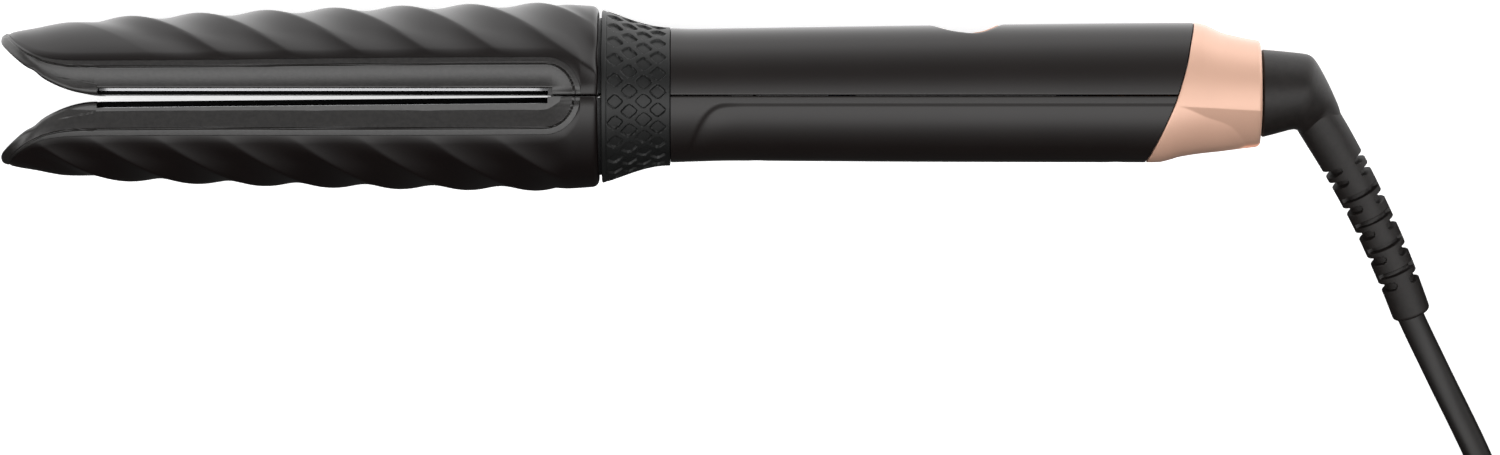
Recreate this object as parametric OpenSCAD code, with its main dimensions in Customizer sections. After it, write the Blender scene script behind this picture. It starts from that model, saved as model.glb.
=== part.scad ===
// Hair styling iron: a spiral barrel that opens like a bud on two heated straightening plates.
// The iron lies on its side on a table. X runs from the tips to the cord, and Y from the lower
// jaw to the upper one. Every piece is drawn about the barrel's axis and then lifted onto the table.

/* [Barrel] */
// Length of the barrel from its tips to its rear face
barrel_l = 149.3; // [130:0.1:190]
// Radius of the closed barrel over its widest ridge
barrel_r = 23.45; // [22:0.05:28]
// Radius over the first ridge behind the nose
barrel_front_r = 19.8; // [18.6:0.1:21]
// Radius of the closed barrel at its tips
barrel_tip_r = 15.2; // [12:0.1:17]
// Bulge of the barrel's line between its two ends
barrel_bulge = 0.5; // [0:0.1:1]
// Wall of the barrel shells
barrel_wall = 1.8; // [1.2:0.1:2.2]
// Length of the petal-shaped nose
nose_l = 24.5; // [18:0.5:32]
// Height of the long channel along each side
channel_h = 18.2; // [14:0.2:20]
// Depth of a jaw's cheek below the ridges
cheek_inset = 3.4; // [3:0.1:4]
// Gap between the two jaws at their seam
seam_gap = 0.3; // [0.2:0.05:0.6]
// Angle by which the lower jaw stands ajar at rest
lower_ajar = 0.55; // [0:0.05:1]

/* [Plates] */
// Width of the polished face of a plate
plate_w = 26.4; // [20:0.2:27]
// Thickness of a plate
plate_t = 3; // [2.4:0.1:3.4]
// Gap between the faces of the closed plates at their rear
plate_gap = 0.5; // [0.3:0.05:1]
// Way that a plate can sink into its jaw
plate_float = 0.6; // [0.3:0.1:0.7]
// Length of a plate's heater
heater_l = 92; // [60:1:96]

/* [Twist collar] */
// Length of the collar
collar_l = 16.8; // [14:0.1:24]
// Radius of the collar at its front
collar_front_r = 21.6; // [21:0.05:26]
// Radius of the collar at its rear
collar_rear_r = 17.3; // [16.8:0.05:19]
// Wall of the collar's grip
grip_wall = 1.2; // [1:0.1:1.4]
// Turn of the collar that opens the jaws fully
collar_turn = 60; // [40:5:90]

/* [Handle] */
// Length of the handle from its front to the rear of the end cap
handle_l = 147.15; // [130:0.05:190]
// Height of the handle's upper side at the front
handle_top_front = 17; // [16.6:0.1:19]
// Height of the handle's upper side at the rear
handle_top_rear = 18.4; // [17:0.1:20]
// Depth of the handle's lower side at the front
handle_low_front = 16; // [15.8:0.1:18]
// Depth of the handle's lower side at the rear
handle_low_rear = 16.5; // [15.8:0.1:19]
// Half of the handle's thickness across its seam
handle_half_w = 16.4; // [15.8:0.1:18]
// Wall of the handle shells
handle_wall = 2; // [1.6:0.1:2.4]

/* [Controls] */
// Distance from the handle's front to the middle of the controls
control_x = 74; // [50:1:95]
// Length of the scoop that holds the controls
scoop_l = 15.6; // [14:0.1:20]
// Diameter of the power button
power_d = 4.6; // [3.6:0.1:5]
// Diameter of the plus and minus buttons
step_d = 3.3; // [2.6:0.1:3.4]
// Travel of the buttons
button_travel = 0.35; // [0.2:0.05:0.4]

/* [End cap and swivel] */
// Length of the end cap along its upper side
cap_top_l = 16.75; // [14:0.25:24]
// Further length of the end cap along its lower side
cap_rake = 12; // [6:0.5:16]
// Distance of the swivel's axis above the seam
swivel_y = 0.75; // [0:0.05:1.5]
// Tilt of the elbow towards the table at rest
swivel_tilt = 16; // [10:0.5:18]
// Radius of the elbow where it meets the cap
elbow_r = 11; // [9.6:0.1:11.4]

/* [Cord] */
// Diameter of the cord
cord_d = 6.7; // [6:0.1:7]
// Length of the strain relief
relief_l = 54.7; // [46:0.1:60]
// Thickness of the tie around the coil
tie_t = 0.8; // [0.5:0.1:1]
// Length of a plug pin
pin_l = 19; // [17:0.5:19]
// Diameter of a plug pin
pin_d = 4; // [4:0.1:4.8]
// Distance between the plug pins
pin_pitch = 19; // [18:0.5:19]

/* [Hidden] */
$fn = 64;
far = 400;           // reach of a cutting block
eps = 0.01;          // overlap that makes two drawn bodies one
run_gap = 0.05;      // radial clearance of a running fit
fit_gap = 0.15;      // clearance of a piece set into another
body_gap = 0.3;      // clearance between pieces that move apart

// Places along the barrel
widest_x = barrel_l - 15;
bulkhead_x = barrel_l - 3.7;
rear_face_x = barrel_l - 0.1;
channel_x = bulkhead_x - channel_h / 2 - 0.35;
plate_x0 = nose_l + 0.5;
plate_x1 = channel_x + 1.7;
plate_flange = 1;
lip_rise = barrel_tip_r - 0.2 - channel_h / 2;
mouth_h = 13;
heater_x0 = (plate_x0 + plate_x1 - heater_l) / 2;
screw_xs = [for (f = [0.25, 0.75]) plate_x0 + f * (plate_x1 - plate_x0)];
cushion_xs = [for (f = [0.1, 0.5, 0.9]) heater_x0 + f * heater_l];
function mix(a, b, t) = a + (b - a) * t;
function smooth(t) = let (s = min(max(t, 0), 1)) s * s * (3 - 2 * s);

// Radius over the ridges: a rounded nose, a bulged cone and a slight fall to the rear
function cone_r(t) = mix(barrel_front_r, barrel_r, t) + 4 * barrel_bulge * t * (1 - t);
function crest_r(x) =
    x < nose_l ? mix(barrel_tip_r, barrel_front_r, sin(90 * x / nose_l)) :
    x < widest_x ? cone_r((x - nose_l) / (widest_x - nose_l)) :
    barrel_r - 0.6 * pow((x - widest_x) / (barrel_l - widest_x), 2);
// Stations along the barrel at which its profile is drawn
stations = concat(
    [for (f = [0, 0.12, 0.26, 0.42, 0.6, 0.8]) f * nose_l],
    [for (f = [0, 0.25, 0.5, 0.75, 1]) mix(nose_l, widest_x, f)],
    [mix(widest_x, barrel_l, 0.45)]);
function stations_in(x0, x1) = concat([x0], [for (x = stations) if (x > x0 + 0.4 && x < x1 - 0.4) x], [x1]);

// Height of the shell's lip and of the mouth between the noses, seen from the side
function lip_y(x) = channel_h / 2 + lip_rise * pow(max(1 - x / nose_l, 0), 1.75);
function mouth_y(x) = plate_gap / 2 + mouth_h * pow(max(1 - x / nose_l, 0), 1.9);

// Heights inside a jaw, from the plate's face outwards
plate_y0 = plate_gap / 2;
plate_y1 = plate_y0 + plate_t;
cheek_y = plate_y0 + 1.6;
heater_t = 1.6;
clip_t = 0.5;
cushion_t = 1.3;
web_y0 = plate_y1 + heater_t + clip_t + cushion_t + plate_float + 0.1;
web_y1 = max(channel_h / 2 + 1.5, web_y0 + 2.6);
cavity_w = plate_w + 2 * plate_flange + 0.5;

// Pivots of the jaws, and the collar over them
pivot_x = barrel_l + 2.9;
pin_r = 1;
ear_r = 1.9;
pivot_inset = 5.6;
pivot_y = min(collar_front_r - pivot_inset, crest_r(barrel_l) - barrel_wall - ear_r - 0.5);
jaw_turn = 6;
knuckle_w = 5.2;
ear_z0 = knuckle_w / 2 + 0.4;
ear_z1 = ear_z0 + 2.4;
spring_z1 = ear_z1 + 2.2;
collar_x = barrel_l + 1;
flange_x = pivot_x + 2.2;
flange_t = 2.5;
cam_x = flange_x + flange_t + body_gap;
stem_r = 12.5;
sleeve_r = 7.6;
wire_bore_r = 6.2;
sleeve_travel = 1;
peg_r = 1.2;
peg_x = cam_x + 4.6;
peg_reach = stem_r + 1.1;
groove_w = 2 * peg_r + 0.5;
function collar_r(x) = mix(collar_front_r, collar_rear_r, pow(sin(90 * (x - collar_x) / collar_l), 1.25));
collar_xs = [for (f = [0, 0.1, 0.25, 0.4, 0.55, 0.7, 0.85, 1]) collar_x + f * collar_l];
flange_rim = 1.5;
mount_flange_r = min(pivot_y + flange_rim, collar_r(flange_x + flange_t) - grip_wall - body_gap);

// Places along the handle
handle_x = collar_x + collar_l + body_gap;
rear_x = handle_x + handle_l;
cap_x = rear_x - cap_top_l;
stem_end_x = handle_x + 15;
button_x = handle_x + control_x;
panel_y = handle_top_front - 1.6;
panel_t = 1.2;
button_foot_y = panel_y - panel_t - 0.9;
board_y = panel_y - 5.9;
board_t = 1.6;
board_l = 67;
button_to_screw = 37;
screw_to_cap = 5;
screw_to_board = 6;
rear_screw_x = min(button_x + button_to_screw, cap_x - cap_rake - screw_to_cap);
board_x0 = rear_screw_x - screw_to_board - board_l;
board_w = 20;
button_gap = 0.15;
// Middles of the power, minus and plus buttons, from the middle of the scoop
button_spots = [[-2.6, 0], [2.2, -2.7], [2.2, 2.7]];
shell_screw_xs = [handle_x + 21.5, rear_screw_x];
wire_z = 4.4;
// Height of the handle's upper side and depth of its lower side at x
handle_mid = (handle_x + cap_x) / 2;
top_mid = mix(handle_top_front, handle_top_rear, 0.55);
low_mid = mix(handle_low_front, handle_low_rear, 0.75);
function along(x, front, mid, rear) =
    x < handle_mid ? mix(front, mid, (x - handle_x) / (handle_mid - handle_x)) :
    mix(mid, rear, (x - handle_mid) / (cap_x - handle_mid));
function top_at(x) = along(x, handle_top_front, top_mid, handle_top_rear);
function low_at(x) = along(x, handle_low_front, low_mid, handle_low_rear);
elbow_reach = 20.7;
overall_l = rear_x + elbow_reach;
origin_x = overall_l / 2;
axis_h = crest_r(channel_x + channel_h / 2);

// Swivel: the core turns in the socket, and the elbow and the cord hang on it
socket_x0 = cap_x - 1.5;
socket_x1 = rear_x - 2.2;
socket_r = 10.2;
core_r = 7.1;
flange_r = 8.5;
relief_dir = 64.4; // fall of the strain relief below the axis, in degrees
relief_top = [rear_x + 14.75, -8.1];
relief_tip = relief_top + relief_l * [cos(relief_dir), -sin(relief_dir)];

// Cord: the tip of the strain relief, then hand-chosen points down to the table and to the coil
cord_tip = [relief_tip[0] - origin_x, swivel_y + relief_tip[1] * cos(swivel_tilt),
    axis_h + relief_tip[1] * sin(swivel_tilt)];
CORD_ROUTE = [
    [188.2, -60.4, 5.6], [191, -66, 4.4], [193.8, -71.7, 3.7], [196.6, -77.3, 3.4], [199.4, -83, 3.4],
    [202.2, -88.9, 3.4], [204.8, -95.1, 3.4], [206.9, -102, 3.4], [208.1, -109.3, 3.4],
    [208.5, -117, 3.6], [208.5, -125, 4.2], [208.5, -132.5, 4.45], [208.5, -139.3, 4.45]];
coil_pitch = cord_d + 0.45;
coil_in_r = 27.2;
coil_layer_loops = 3.2;
coil_loops = 10.25;
coil_out_r = coil_in_r + coil_pitch * coil_layer_loops;
coil_centre = [208.5 - coil_out_r, -146];
coil_z = tie_t + body_gap + cord_d / 2;
coil_end_rise = 3.6;
coil_sides = 6;
plug_z = coil_z + 3 * coil_pitch + coil_end_rise;
plug_x = coil_centre[0] - cord_d;
plug_y = coil_centre[1] - coil_in_r - coil_pitch * (coil_loops - 3 * coil_layer_loops);
plug_neck_l = 12;
plug_body_l = 35;
tie_w = 8;
tie_angle = 180;

// Shared shapes
module at_rest() { translate([-origin_x, 0, axis_h]) children(); }
module turned(pts) { rotate([0, 90, 0]) rotate_extrude() polygon(pts); }
module tube_x(x0, x1, r, r_in) {
    turned([[r_in, x0], [r, x0], [r, x1], [r_in, x1]]);
}
module rod_x(x0, x1, r) { translate([x0, 0, 0]) rotate([0, 90, 0]) cylinder(r = r, h = x1 - x0); }
module rod_y(x, y0, y1, r, z = 0) {
    translate([x, y0, z]) rotate([-90, 0, 0]) cylinder(r = r, h = y1 - y0);
}
module rod_z(x, y, z0, z1, r) { translate([x, y, z0]) cylinder(r = r, h = z1 - z0); }
module block(x0, x1, y0, y1, z0, z1) { translate([x0, y0, z0]) cube([x1 - x0, y1 - y0, z1 - z0]); }
module slab(y0, y1) { block(-far, far, y0, y1, -far, far); }
// A solid of the barrel's own outline, set in by inset
module barrel_core(inset, x0, x1) {
    turned(concat([[0, x0]], [for (x = stations_in(x0, x1)) [crest_r(x) - inset, x]], [[0, x1]]));
}
module upper_only() {
    intersection() {
        children();
        slab(seam_gap / 2, far);
    }
}
// The upper jaw's pieces are placed as drawn. The lower jaw is the same jaw turned over the axis.
module upper_jaw() { at_rest() children(); }
module lower_jaw() {
    at_rest() translate([pivot_x, -pivot_y, 0]) rotate([0, 0, lower_ajar])
        translate([-pivot_x, pivot_y, 0]) rotate([180, 0, 0]) children();
}

// Opening of the shell over the channel and the nose, seen from the side
module channel_outline() {
    translate([-1, -far / 2]) square([channel_x + 1, far / 2 + channel_h / 2]);
    translate([channel_x, 0]) circle(r = channel_h / 2);
    polygon(concat([[-1, 0], [-1, lip_y(0) + 1]], [for (i = [0:6]) let (x = i * nose_l / 6) [x, lip_y(x)]],
        [[nose_l, 0]]));
}
module barrel_shell() {
    c = 1.2; // rounded corner at the rear
    r = crest_r(barrel_l);
    color("#3a3939") difference() {
        upper_only() turned(concat(
            [for (x = stations_in(0, barrel_l - c)) [crest_r(x), x]],
            [[r - 0.35 * c, barrel_l - 0.3 * c], [r - c, barrel_l]],
            [for (i = [0:len(stations)]) let (s = stations_in(0, barrel_l), x = s[len(s) - 1 - i])
                [crest_r(x) - barrel_wall, x]]));
        translate([0, 0, -far / 2]) linear_extrude(far) channel_outline();
    }
    color("#3a3939") for (x = screw_xs) difference() {
        rod_y(x, web_y1 + 0.05, crest_r(x) - barrel_wall + 0.6, 2.4);
        rod_y(x, web_y1, web_y1 + 5.6, pin_r + 0.25);
    }
}
// Cheeks around the plate, a web over it, and a bulkhead with the knuckle that hangs the jaw
module jaw_carrier() {
    color("#222222") difference() {
        union() {
            upper_only() intersection() {
                barrel_core(cheek_inset, nose_l + 0.2, rear_face_x);
                union() {
                    slab(cheek_y, web_y1);
                    block(plate_x1 - 0.9, far, 0, web_y1, -far, far);
                }
            }
            intersection() {
                barrel_core(barrel_wall + fit_gap, nose_l + 0.2, rear_face_x);
                union() {
                    slab(channel_h / 2 + fit_gap, web_y1);
                    block(bulkhead_x, far, seam_gap / 2, far, -far, far);
                }
            }
            rod_z(pivot_x, pivot_y, -knuckle_w / 2, knuckle_w / 2, ear_r);
            block(bulkhead_x, pivot_x, pivot_y - ear_r, pivot_y + ear_r, -knuckle_w / 2, knuckle_w / 2);
        }
        block(0, plate_x1 + 0.8, plate_y0 + 2, web_y0, -cavity_w / 2, cavity_w / 2);
        block(0, plate_x1 + 0.8, -1, web_y0, -plate_w / 2 - 0.25, plate_w / 2 + 0.25);
        block(plate_x1, far, -1, wire_bore_r, -4.4, 4.4);
        rod_x(bulkhead_x - 1, far, wire_bore_r);
        rod_z(pivot_x, pivot_y, -far, far, pin_r + run_gap);
        for (x = screw_xs) {
            rod_y(x, web_y0 - 1, web_y0 + 1.5, 2.4);
            rod_y(x, web_y0, far, pin_r + 0.3);
        }
    }
}
// Front block of a jaw, shaped like the inside of a petal
module jaw_nose() {
    color("#262525") upper_only() intersection() {
        union() {
            intersection() {
                barrel_core(cheek_inset, 0.8, nose_l);
                slab(0, lip_y(nose_l / 2));
            }
            intersection() {
                barrel_core(barrel_wall + fit_gap, 0.3, nose_l);
                translate([0, 0, -far / 2]) linear_extrude(far) polygon(concat(
                    [for (i = [0:6]) let (x = i * nose_l / 6) [x, lip_y(x) + fit_gap]],
                    [[nose_l, far / 4], [0, far / 4]]));
            }
        }
        translate([0, 0, -far / 2]) linear_extrude(far) polygon(concat(
            [for (i = [0:8]) let (x = i * nose_l / 8) [x, mouth_y(x)]],
            [[nose_l, web_y1], [nose_l * 0.7, web_y1 + 2], [0, barrel_tip_r]]));
    }
}
module jaw_screws() {
    color("silver") for (x = screw_xs) {
        rod_y(x, web_y0, web_y0 + 1.45, 2.2);
        rod_y(x, web_y0 + 1.4, web_y1 + 5, pin_r + 0.2);
    }
}
module plate() {
    bevel = 0.6;
    face = plate_w / 2;
    rim = face + plate_flange;
    rim_y = plate_y0 + 2.1;
    half = [[plate_y0, face - bevel], [plate_y0 + bevel, face], [rim_y, face], [rim_y, rim], [plate_y1, rim]];
    color("#c8c8ca") translate([plate_x0, 0, 0]) rotate([90, 0, 90]) linear_extrude(plate_x1 - plate_x0)
        polygon(concat(half, [for (i = [len(half) - 1:-1:0]) [half[i][0], -half[i][1]]]));
}
module plate_heater() {
    color("#e9e4d8") block(heater_x0, heater_x0 + heater_l, plate_y1, plate_y1 + heater_t, -10, 10);
}
module plate_heater_clip() {
    x0 = heater_x0 + 1;
    x1 = heater_x0 + heater_l - 1;
    y = plate_y1 + heater_t;
    color("silver") {
        block(x0, x1, y, y + clip_t, -12, 12);
        for (s = [-1, 1]) block(x0, x1, plate_y1, y + clip_t, s * 11.5 - 0.5, s * 11.5 + 0.5);
    }
}
module plate_cushions() {
    y = plate_y1 + heater_t + clip_t;
    color("#b5533c") for (x = cushion_xs) block(x - 5, x + 5, y, y + cushion_t, -8, 8);
}
module plate_thermistor() {
    x = heater_x0 + heater_l + 2;
    color("black") block(x, x + 4, plate_y1, plate_y1 + 1.8, 5, 8);
}
module plate_leads() {
    color("white") for (s = [-1, 1]) translate([0, plate_y1 + heater_t / 2, 2 * s])
        rod_x(heater_x0 + heater_l, barrel_l - 0.3, 0.6);
}

// Fixed head of the handle: ears for the jaws' pins, and the stem that the collar turns on
module jaw_mount() {
    color("#55565a") at_rest() difference() {
        union() {
            rod_x(flange_x, flange_x + flange_t, mount_flange_r);
            rod_x(flange_x, stem_end_x, stem_r);
            for (m = [-1, 1], s = [-1, 1]) {
                z = s * (ear_z0 + ear_z1) / 2 - (ear_z1 - ear_z0) / 2;
                rod_z(pivot_x, m * pivot_y, z, z + ear_z1 - ear_z0, ear_r);
                block(pivot_x, flange_x + eps, m * pivot_y - ear_r, m * pivot_y + ear_r,
                    z, z + ear_z1 - ear_z0);
            }
        }
        rod_x(0, far, sleeve_r + run_gap);
        for (m = [-1, 1]) rod_z(pivot_x, m * pivot_y, -far, far, pin_r + 0.02);
        block(peg_x - sleeve_travel - groove_w / 2, peg_x + groove_w / 2,
            -peg_r - fit_gap, peg_r + fit_gap, -stem_r - 1, stem_r + 1);
    }
}
module jaw_pins() {
    color("silver") at_rest() for (m = [-1, 1])
        rod_z(pivot_x, m * pivot_y, -spring_z1, spring_z1, pin_r);
}
// Torsion springs on the ends of the pins, each with a leg on the flange
module closing_springs() {
    coil_out = 1.7;
    color("silver") at_rest() for (m = [-1, 1], s = [-1, 1]) {
        z = s * (ear_z1 + spring_z1) / 2 - 0.8;
        difference() {
            union() {
                rod_z(pivot_x, m * pivot_y, z, z + 1.6, coil_out);
                translate([0, m * (pivot_y - coil_out + 0.35), z + 0.8]) rod_x(pivot_x, flange_x, 0.35);
            }
            rod_z(pivot_x, m * pivot_y, -far, far, pin_r + 0.1);
        }
    }
}
module opening_sleeve() {
    color("#d8d2c4") at_rest() {
        tube_x(rear_face_x + 0.4, stem_end_x - 3, sleeve_r, wire_bore_r);
        difference() {
            rod_z(peg_x, 0, -peg_reach, peg_reach, peg_r);
            rod_x(0, far, sleeve_r - 0.6);
        }
    }
}
module collar_grip() {
    inner = [for (i = [len(collar_xs) - 1:-1:0]) [collar_r(collar_xs[i]) - grip_wall, collar_xs[i]]];
    color("#3b3c3b") at_rest() turned(concat([for (x = collar_xs) [collar_r(x), x]], inner));
}
// Hard ring inside the grip. Its two grooves push the sleeve forward as the collar turns.
module cam_ring() {
    x1 = collar_x + collar_l;
    steps = 7;
    xs = concat([cam_x], [for (x = collar_xs) if (x > cam_x + 0.4) x]);
    color("#55565a") at_rest() difference() {
        turned(concat([[stem_r + run_gap, cam_x]], [for (x = xs) [collar_r(x) - grip_wall - 0.02, x]],
            [[stem_r + run_gap, x1]]));
        for (m = [0, 180], i = [0:steps - 1]) {
            x = peg_x - sleeve_travel * i / (steps - 1);
            rotate([m - collar_turn * i / (steps - 1), 0, 0]) block(x - groove_w / 2, x + groove_w / 2,
                -peg_r - body_gap, peg_r + body_gap, stem_r - 1, peg_reach + body_gap);
        }
    }
}

// Handle: half-height t above and b below the seam, drawn across X as a rounded outline
module section(x, t, b, w, inset = 0) {
    n = 48;
    p = 2 / 2.25;
    pts = [for (i = [0:n - 1]) let (a = 360 * i / n, c = cos(a), s = sin(a))
        [(s > 0 ? t - inset : b - inset) * sign(s) * pow(abs(s), p), (w - inset) * sign(c) * pow(abs(c), p)]];
    translate([x, 0, 0]) rotate([90, 0, 90]) linear_extrude(eps) polygon(pts);
}
module handle_solid(inset, x0, x1) {
    hull() {
        section(x0, handle_top_front, handle_low_front, handle_half_w, inset);
        section(handle_mid, top_mid, low_mid, handle_half_w, inset);
        section(x1, handle_top_rear, handle_low_rear, handle_half_w, inset);
    }
}
// Everything ahead of the end cap's slanted front edge, moved back by gap
module ahead_of_cap(gap) {
    n = 8;
    top = handle_top_rear + 2;
    span = handle_top_rear + handle_low_rear + 4;
    translate([0, 0, -far / 2]) linear_extrude(far) polygon(concat([[0, top]],
        [for (i = [0:n]) let (t = i / n) [cap_x - gap - cap_rake * pow(t, 1.5), top - span * t]],
        [[0, top - span]]));
}
module handle_shell() {
    intersection() {
        difference() {
            handle_solid(0, handle_x, cap_x + 2);
            handle_solid(handle_wall, handle_x + 2, cap_x + 4);
            rod_x(handle_x - 1, handle_x + 3, stem_r + 0.02);
        }
        ahead_of_cap(0.25);
    }
}
module upper_handle() {
    color("#2b2828") at_rest() {
        difference() {
            intersection() {
                handle_shell();
                slab(0, far);
            }
            translate([button_x, panel_y - panel_t - 3, 0]) rotate([-90, 0, 0])
                cylinder(d = scoop_l + 0.2, h = 20);
        }
        for (x = shell_screw_xs) difference() {
            rod_y(x, 0.5, top_at(x) - handle_wall + 0.5, 3);
            rod_y(x, 0, 9, 1.25);
        }
        for (x = [board_x0 + 4, board_x0 + board_l - 4], s = [-1, 1])
            rod_y(x, board_y + board_t, handle_top_front - 2.6, 1.6, s * (board_w / 2 - 2.6));
    }
}
module lower_handle() {
    color("#2b2828") at_rest() {
        difference() {
            union() {
                intersection() {
                    handle_shell();
                    slab(-far, 0);
                }
                for (x = shell_screw_xs) rod_y(x, -low_at(x) + handle_wall - 0.5, 0.4, 3);
            }
            for (x = shell_screw_xs) {
                rod_y(x, -far / 2, -low_at(x) + 4, 2.3);
                rod_y(x, -far / 2, 2, 1.35);
            }
        }
    }
}
module handle_screws() {
    color("silver") at_rest() for (x = shell_screw_xs) {
        rod_y(x, -low_at(x) + 2.2, -low_at(x) + 3.95, 2.2);
        rod_y(x, -low_at(x) + 3.9, 8.5, 1.2);
    }
}
// Trim ring of the scoop, cut back by a slanted hollow for the thumb
module control_bezel() {
    color("#e3bfa4") at_rest() intersection() {
        difference() {
            rod_y(button_x, panel_y - panel_t - 1, far / 2, scoop_l / 2);
            rod_y(button_x, panel_y, far, scoop_l / 2 - 1);
            rod_y(button_x, 0, far, scoop_l / 2 - 2);
            block(button_x - scoop_l / 2 + 2, button_x + scoop_l / 2 - 2, panel_y + 0.3, far, -far, far);
        }
        handle_solid(0.1, handle_x, cap_x + 2);
    }
}
module control_panel() {
    color("#1d1c1c") at_rest() difference() {
        rod_y(button_x, panel_y - panel_t, panel_y - 0.05, scoop_l / 2 - 2.05);
        for (i = [0:2]) {
            d = i == 0 ? power_d : step_d;
            rod_y(button_x + button_spots[i][0], 0, far, d / 2 + button_gap, button_spots[i][1]);
        }
    }
}
module button(i, d) {
    spot = button_spots[i];
    at_rest() {
        rod_y(button_x + spot[0], button_foot_y, panel_y + 0.6, d / 2, spot[1]);
        rod_y(button_x + spot[0], button_foot_y, panel_y - panel_t - 0.1, d / 2 + 0.3, spot[1]);
    }
}
module power_button() { color("#e3bfa4") button(0, power_d); }
module minus_button() { color("#4a4848") button(1, step_d); }
module plus_button() { color("#4a4848") button(2, step_d); }
module circuit_board() {
    color("darkgreen") at_rest()
        block(board_x0, board_x0 + board_l, board_y, board_y + board_t, -board_w / 2, board_w / 2);
}
// Relay, transformer, capacitor and the terminal block for the wires, under the board
module board_parts() {
    x = board_x0;
    color("#30506a") at_rest() {
        block(x + 1, x + 8, -3, board_y, -7, 7);
        block(x + 13, x + 27, board_y - 9, board_y, -8, 6);
        block(x + 31, x + 43, board_y - 7.5, board_y, -8, 8);
        rod_y(x + 50, board_y - 9, board_y, 4);
        block(x + board_l - 9, x + board_l - 1, -3, board_y, -7, 7);
    }
}
module button_switches() {
    y = board_y + board_t;
    top = button_foot_y - button_travel - 0.05;
    color("black") at_rest() for (spot = button_spots) {
        x = button_x + spot[0];
        block(x - 1.6, x + 1.6, y, top - 0.6, spot[1] - 1.6, spot[1] + 1.6);
        rod_y(x, y, top, 0.8, spot[1]);
    }
}
module handle_wires() {
    color("white") at_rest() for (s = [-1, 1], m = [-1, 1]) translate([0, m * 2, s * wire_z])
        rod_x(barrel_l + 0.6, board_x0 + 1, 0.9);
}
module mains_wires() {
    color("#7a4a2a") at_rest() for (s = [-1, 1]) translate([0, swivel_y, s * wire_z])
        rod_x(board_x0 + board_l - 1, socket_x0, 1.1);
}

// End cap: one piece over both shells, slanted at the front and drawn in towards the swivel
module end_cap() {
    low = [handle_low_rear, handle_low_rear, 14.3, 13.8, 12.8];
    top = [handle_top_rear, handle_top_rear, handle_top_rear - 0.2, 15.6, 14];
    xs = [cap_x - cap_rake, cap_x - 8, cap_x + 2.2, cap_x + 7.7, rear_x];
    ws = [handle_half_w, handle_half_w, handle_half_w - 0.4, 14.6, 13.2];
    color("#e3bfa4") at_rest() difference() {
        for (i = [0:3]) hull() {
            section(xs[i], top[i], low[i], ws[i]);
            section(xs[i + 1] - eps, top[i + 1], low[i + 1], ws[i + 1]);
        }
        ahead_of_cap(0);
        hull() {
            section(xs[0] - 1, top[0], low[0], ws[0], handle_wall);
            section(cap_x - 2, top[1], low[2] + 0.8, ws[2], handle_wall);
        }
        translate([0, swivel_y, 0]) rod_x(0, socket_x1, socket_r + 0.02);
        translate([0, swivel_y, 0]) rod_x(0, far, core_r + body_gap);
    }
}
module swivel_socket() {
    color("#1c1c1c") at_rest() translate([0, swivel_y, 0]) difference() {
        rod_x(socket_x0, socket_x1, socket_r);
        rod_x(socket_x0 + 2, socket_x1 - 4, flange_r + 0.1);
        rod_x(socket_x0 + 2, far, core_r + run_gap);
    }
}
module swivel_contacts() {
    x = socket_x0 + 2;
    color("#c9a24a") at_rest() translate([0, swivel_y, 0]) for (m = [-1, 1])
        block(x, x + (m > 0 ? 2.4 : 4.8), m * 5.3 - 0.2, m * 5.3 + 0.2, -1.5, 1.5);
}
// Pieces on the swivel are drawn with the cord falling towards -Y and then tilted to the table
module on_swivel() { at_rest() translate([0, swivel_y, 0]) rotate([swivel_tilt, 0, 0]) children(); }
module swivel_core() {
    x = socket_x0 + 2;
    color("#1c1c1c") on_swivel() {
        rod_x(x + 0.4, x + 6.5, 3.9);
        rod_x(x + 6, socket_x1 - 4.2, flange_r);
        rod_x(x + 6, rear_x + body_gap + 1, core_r);
    }
}
module slip_rings() {
    x = socket_x0 + 2;
    color("#c9a24a") on_swivel() for (i = [0, 1]) tube_x(x + 0.7 + 2.4 * i, x + 2.2 + 2.4 * i, 4.9, 3.9);
}
module elbow() {
    x = rear_x + body_gap;
    color("#2d2b2a") on_swivel() difference() {
        union() {
            hull() {
                rod_x(x, x + 1, elbow_r, $fn = 32);
                rod_x(x + 7.6, x + 8, elbow_r - 1.3, $fn = 32);
            }
            hull() {
                rod_x(x + 7.6, x + 8, elbow_r - 1.3, $fn = 32);
                translate([x + 10.4, 1, 0]) sphere(r = 7.9, $fn = 32);
                translate([relief_top[0], relief_top[1], 0]) rotate([0, 0, -relief_dir])
                    rotate([0, 90, 0]) translate([0, 0, -2]) cylinder(r1 = 6.6, r2 = 6.1, h = 2, $fn = 32);
            }
        }
        rod_x(0, x + 1, core_r + 0.02);
    }
}
// Sleeve, three rings and an end sleeve on narrow necks
module strain_relief() {
    neck = 3.9;
    ring_l = 4.5;
    pitch = 7.3;
    first = 24.5;
    ring = [5.25, 5.1, 5];
    ends = [relief_l - 7.6, relief_l];
    rings = [for (i = [0:2]) let (a = first + i * pitch, r = ring[i])
        each [[neck, a], [r - 0.4, a], [r, a + 0.4], [r, a + ring_l], [neck, a + ring_l]]];
    color("#262423") on_swivel() translate([relief_top[0], relief_top[1], 0]) rotate([0, 0, -relief_dir])
        turned(concat([[0, 0], [6, 0], [5.35, 21.4], [4.9, 22], [neck, 22]], rings,
            [[neck, ends[0]], [4.9, ends[0]], [4.9, ends[1] - 0.5], [4.5, ends[1]], [0, ends[1]]]));
}

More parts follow.
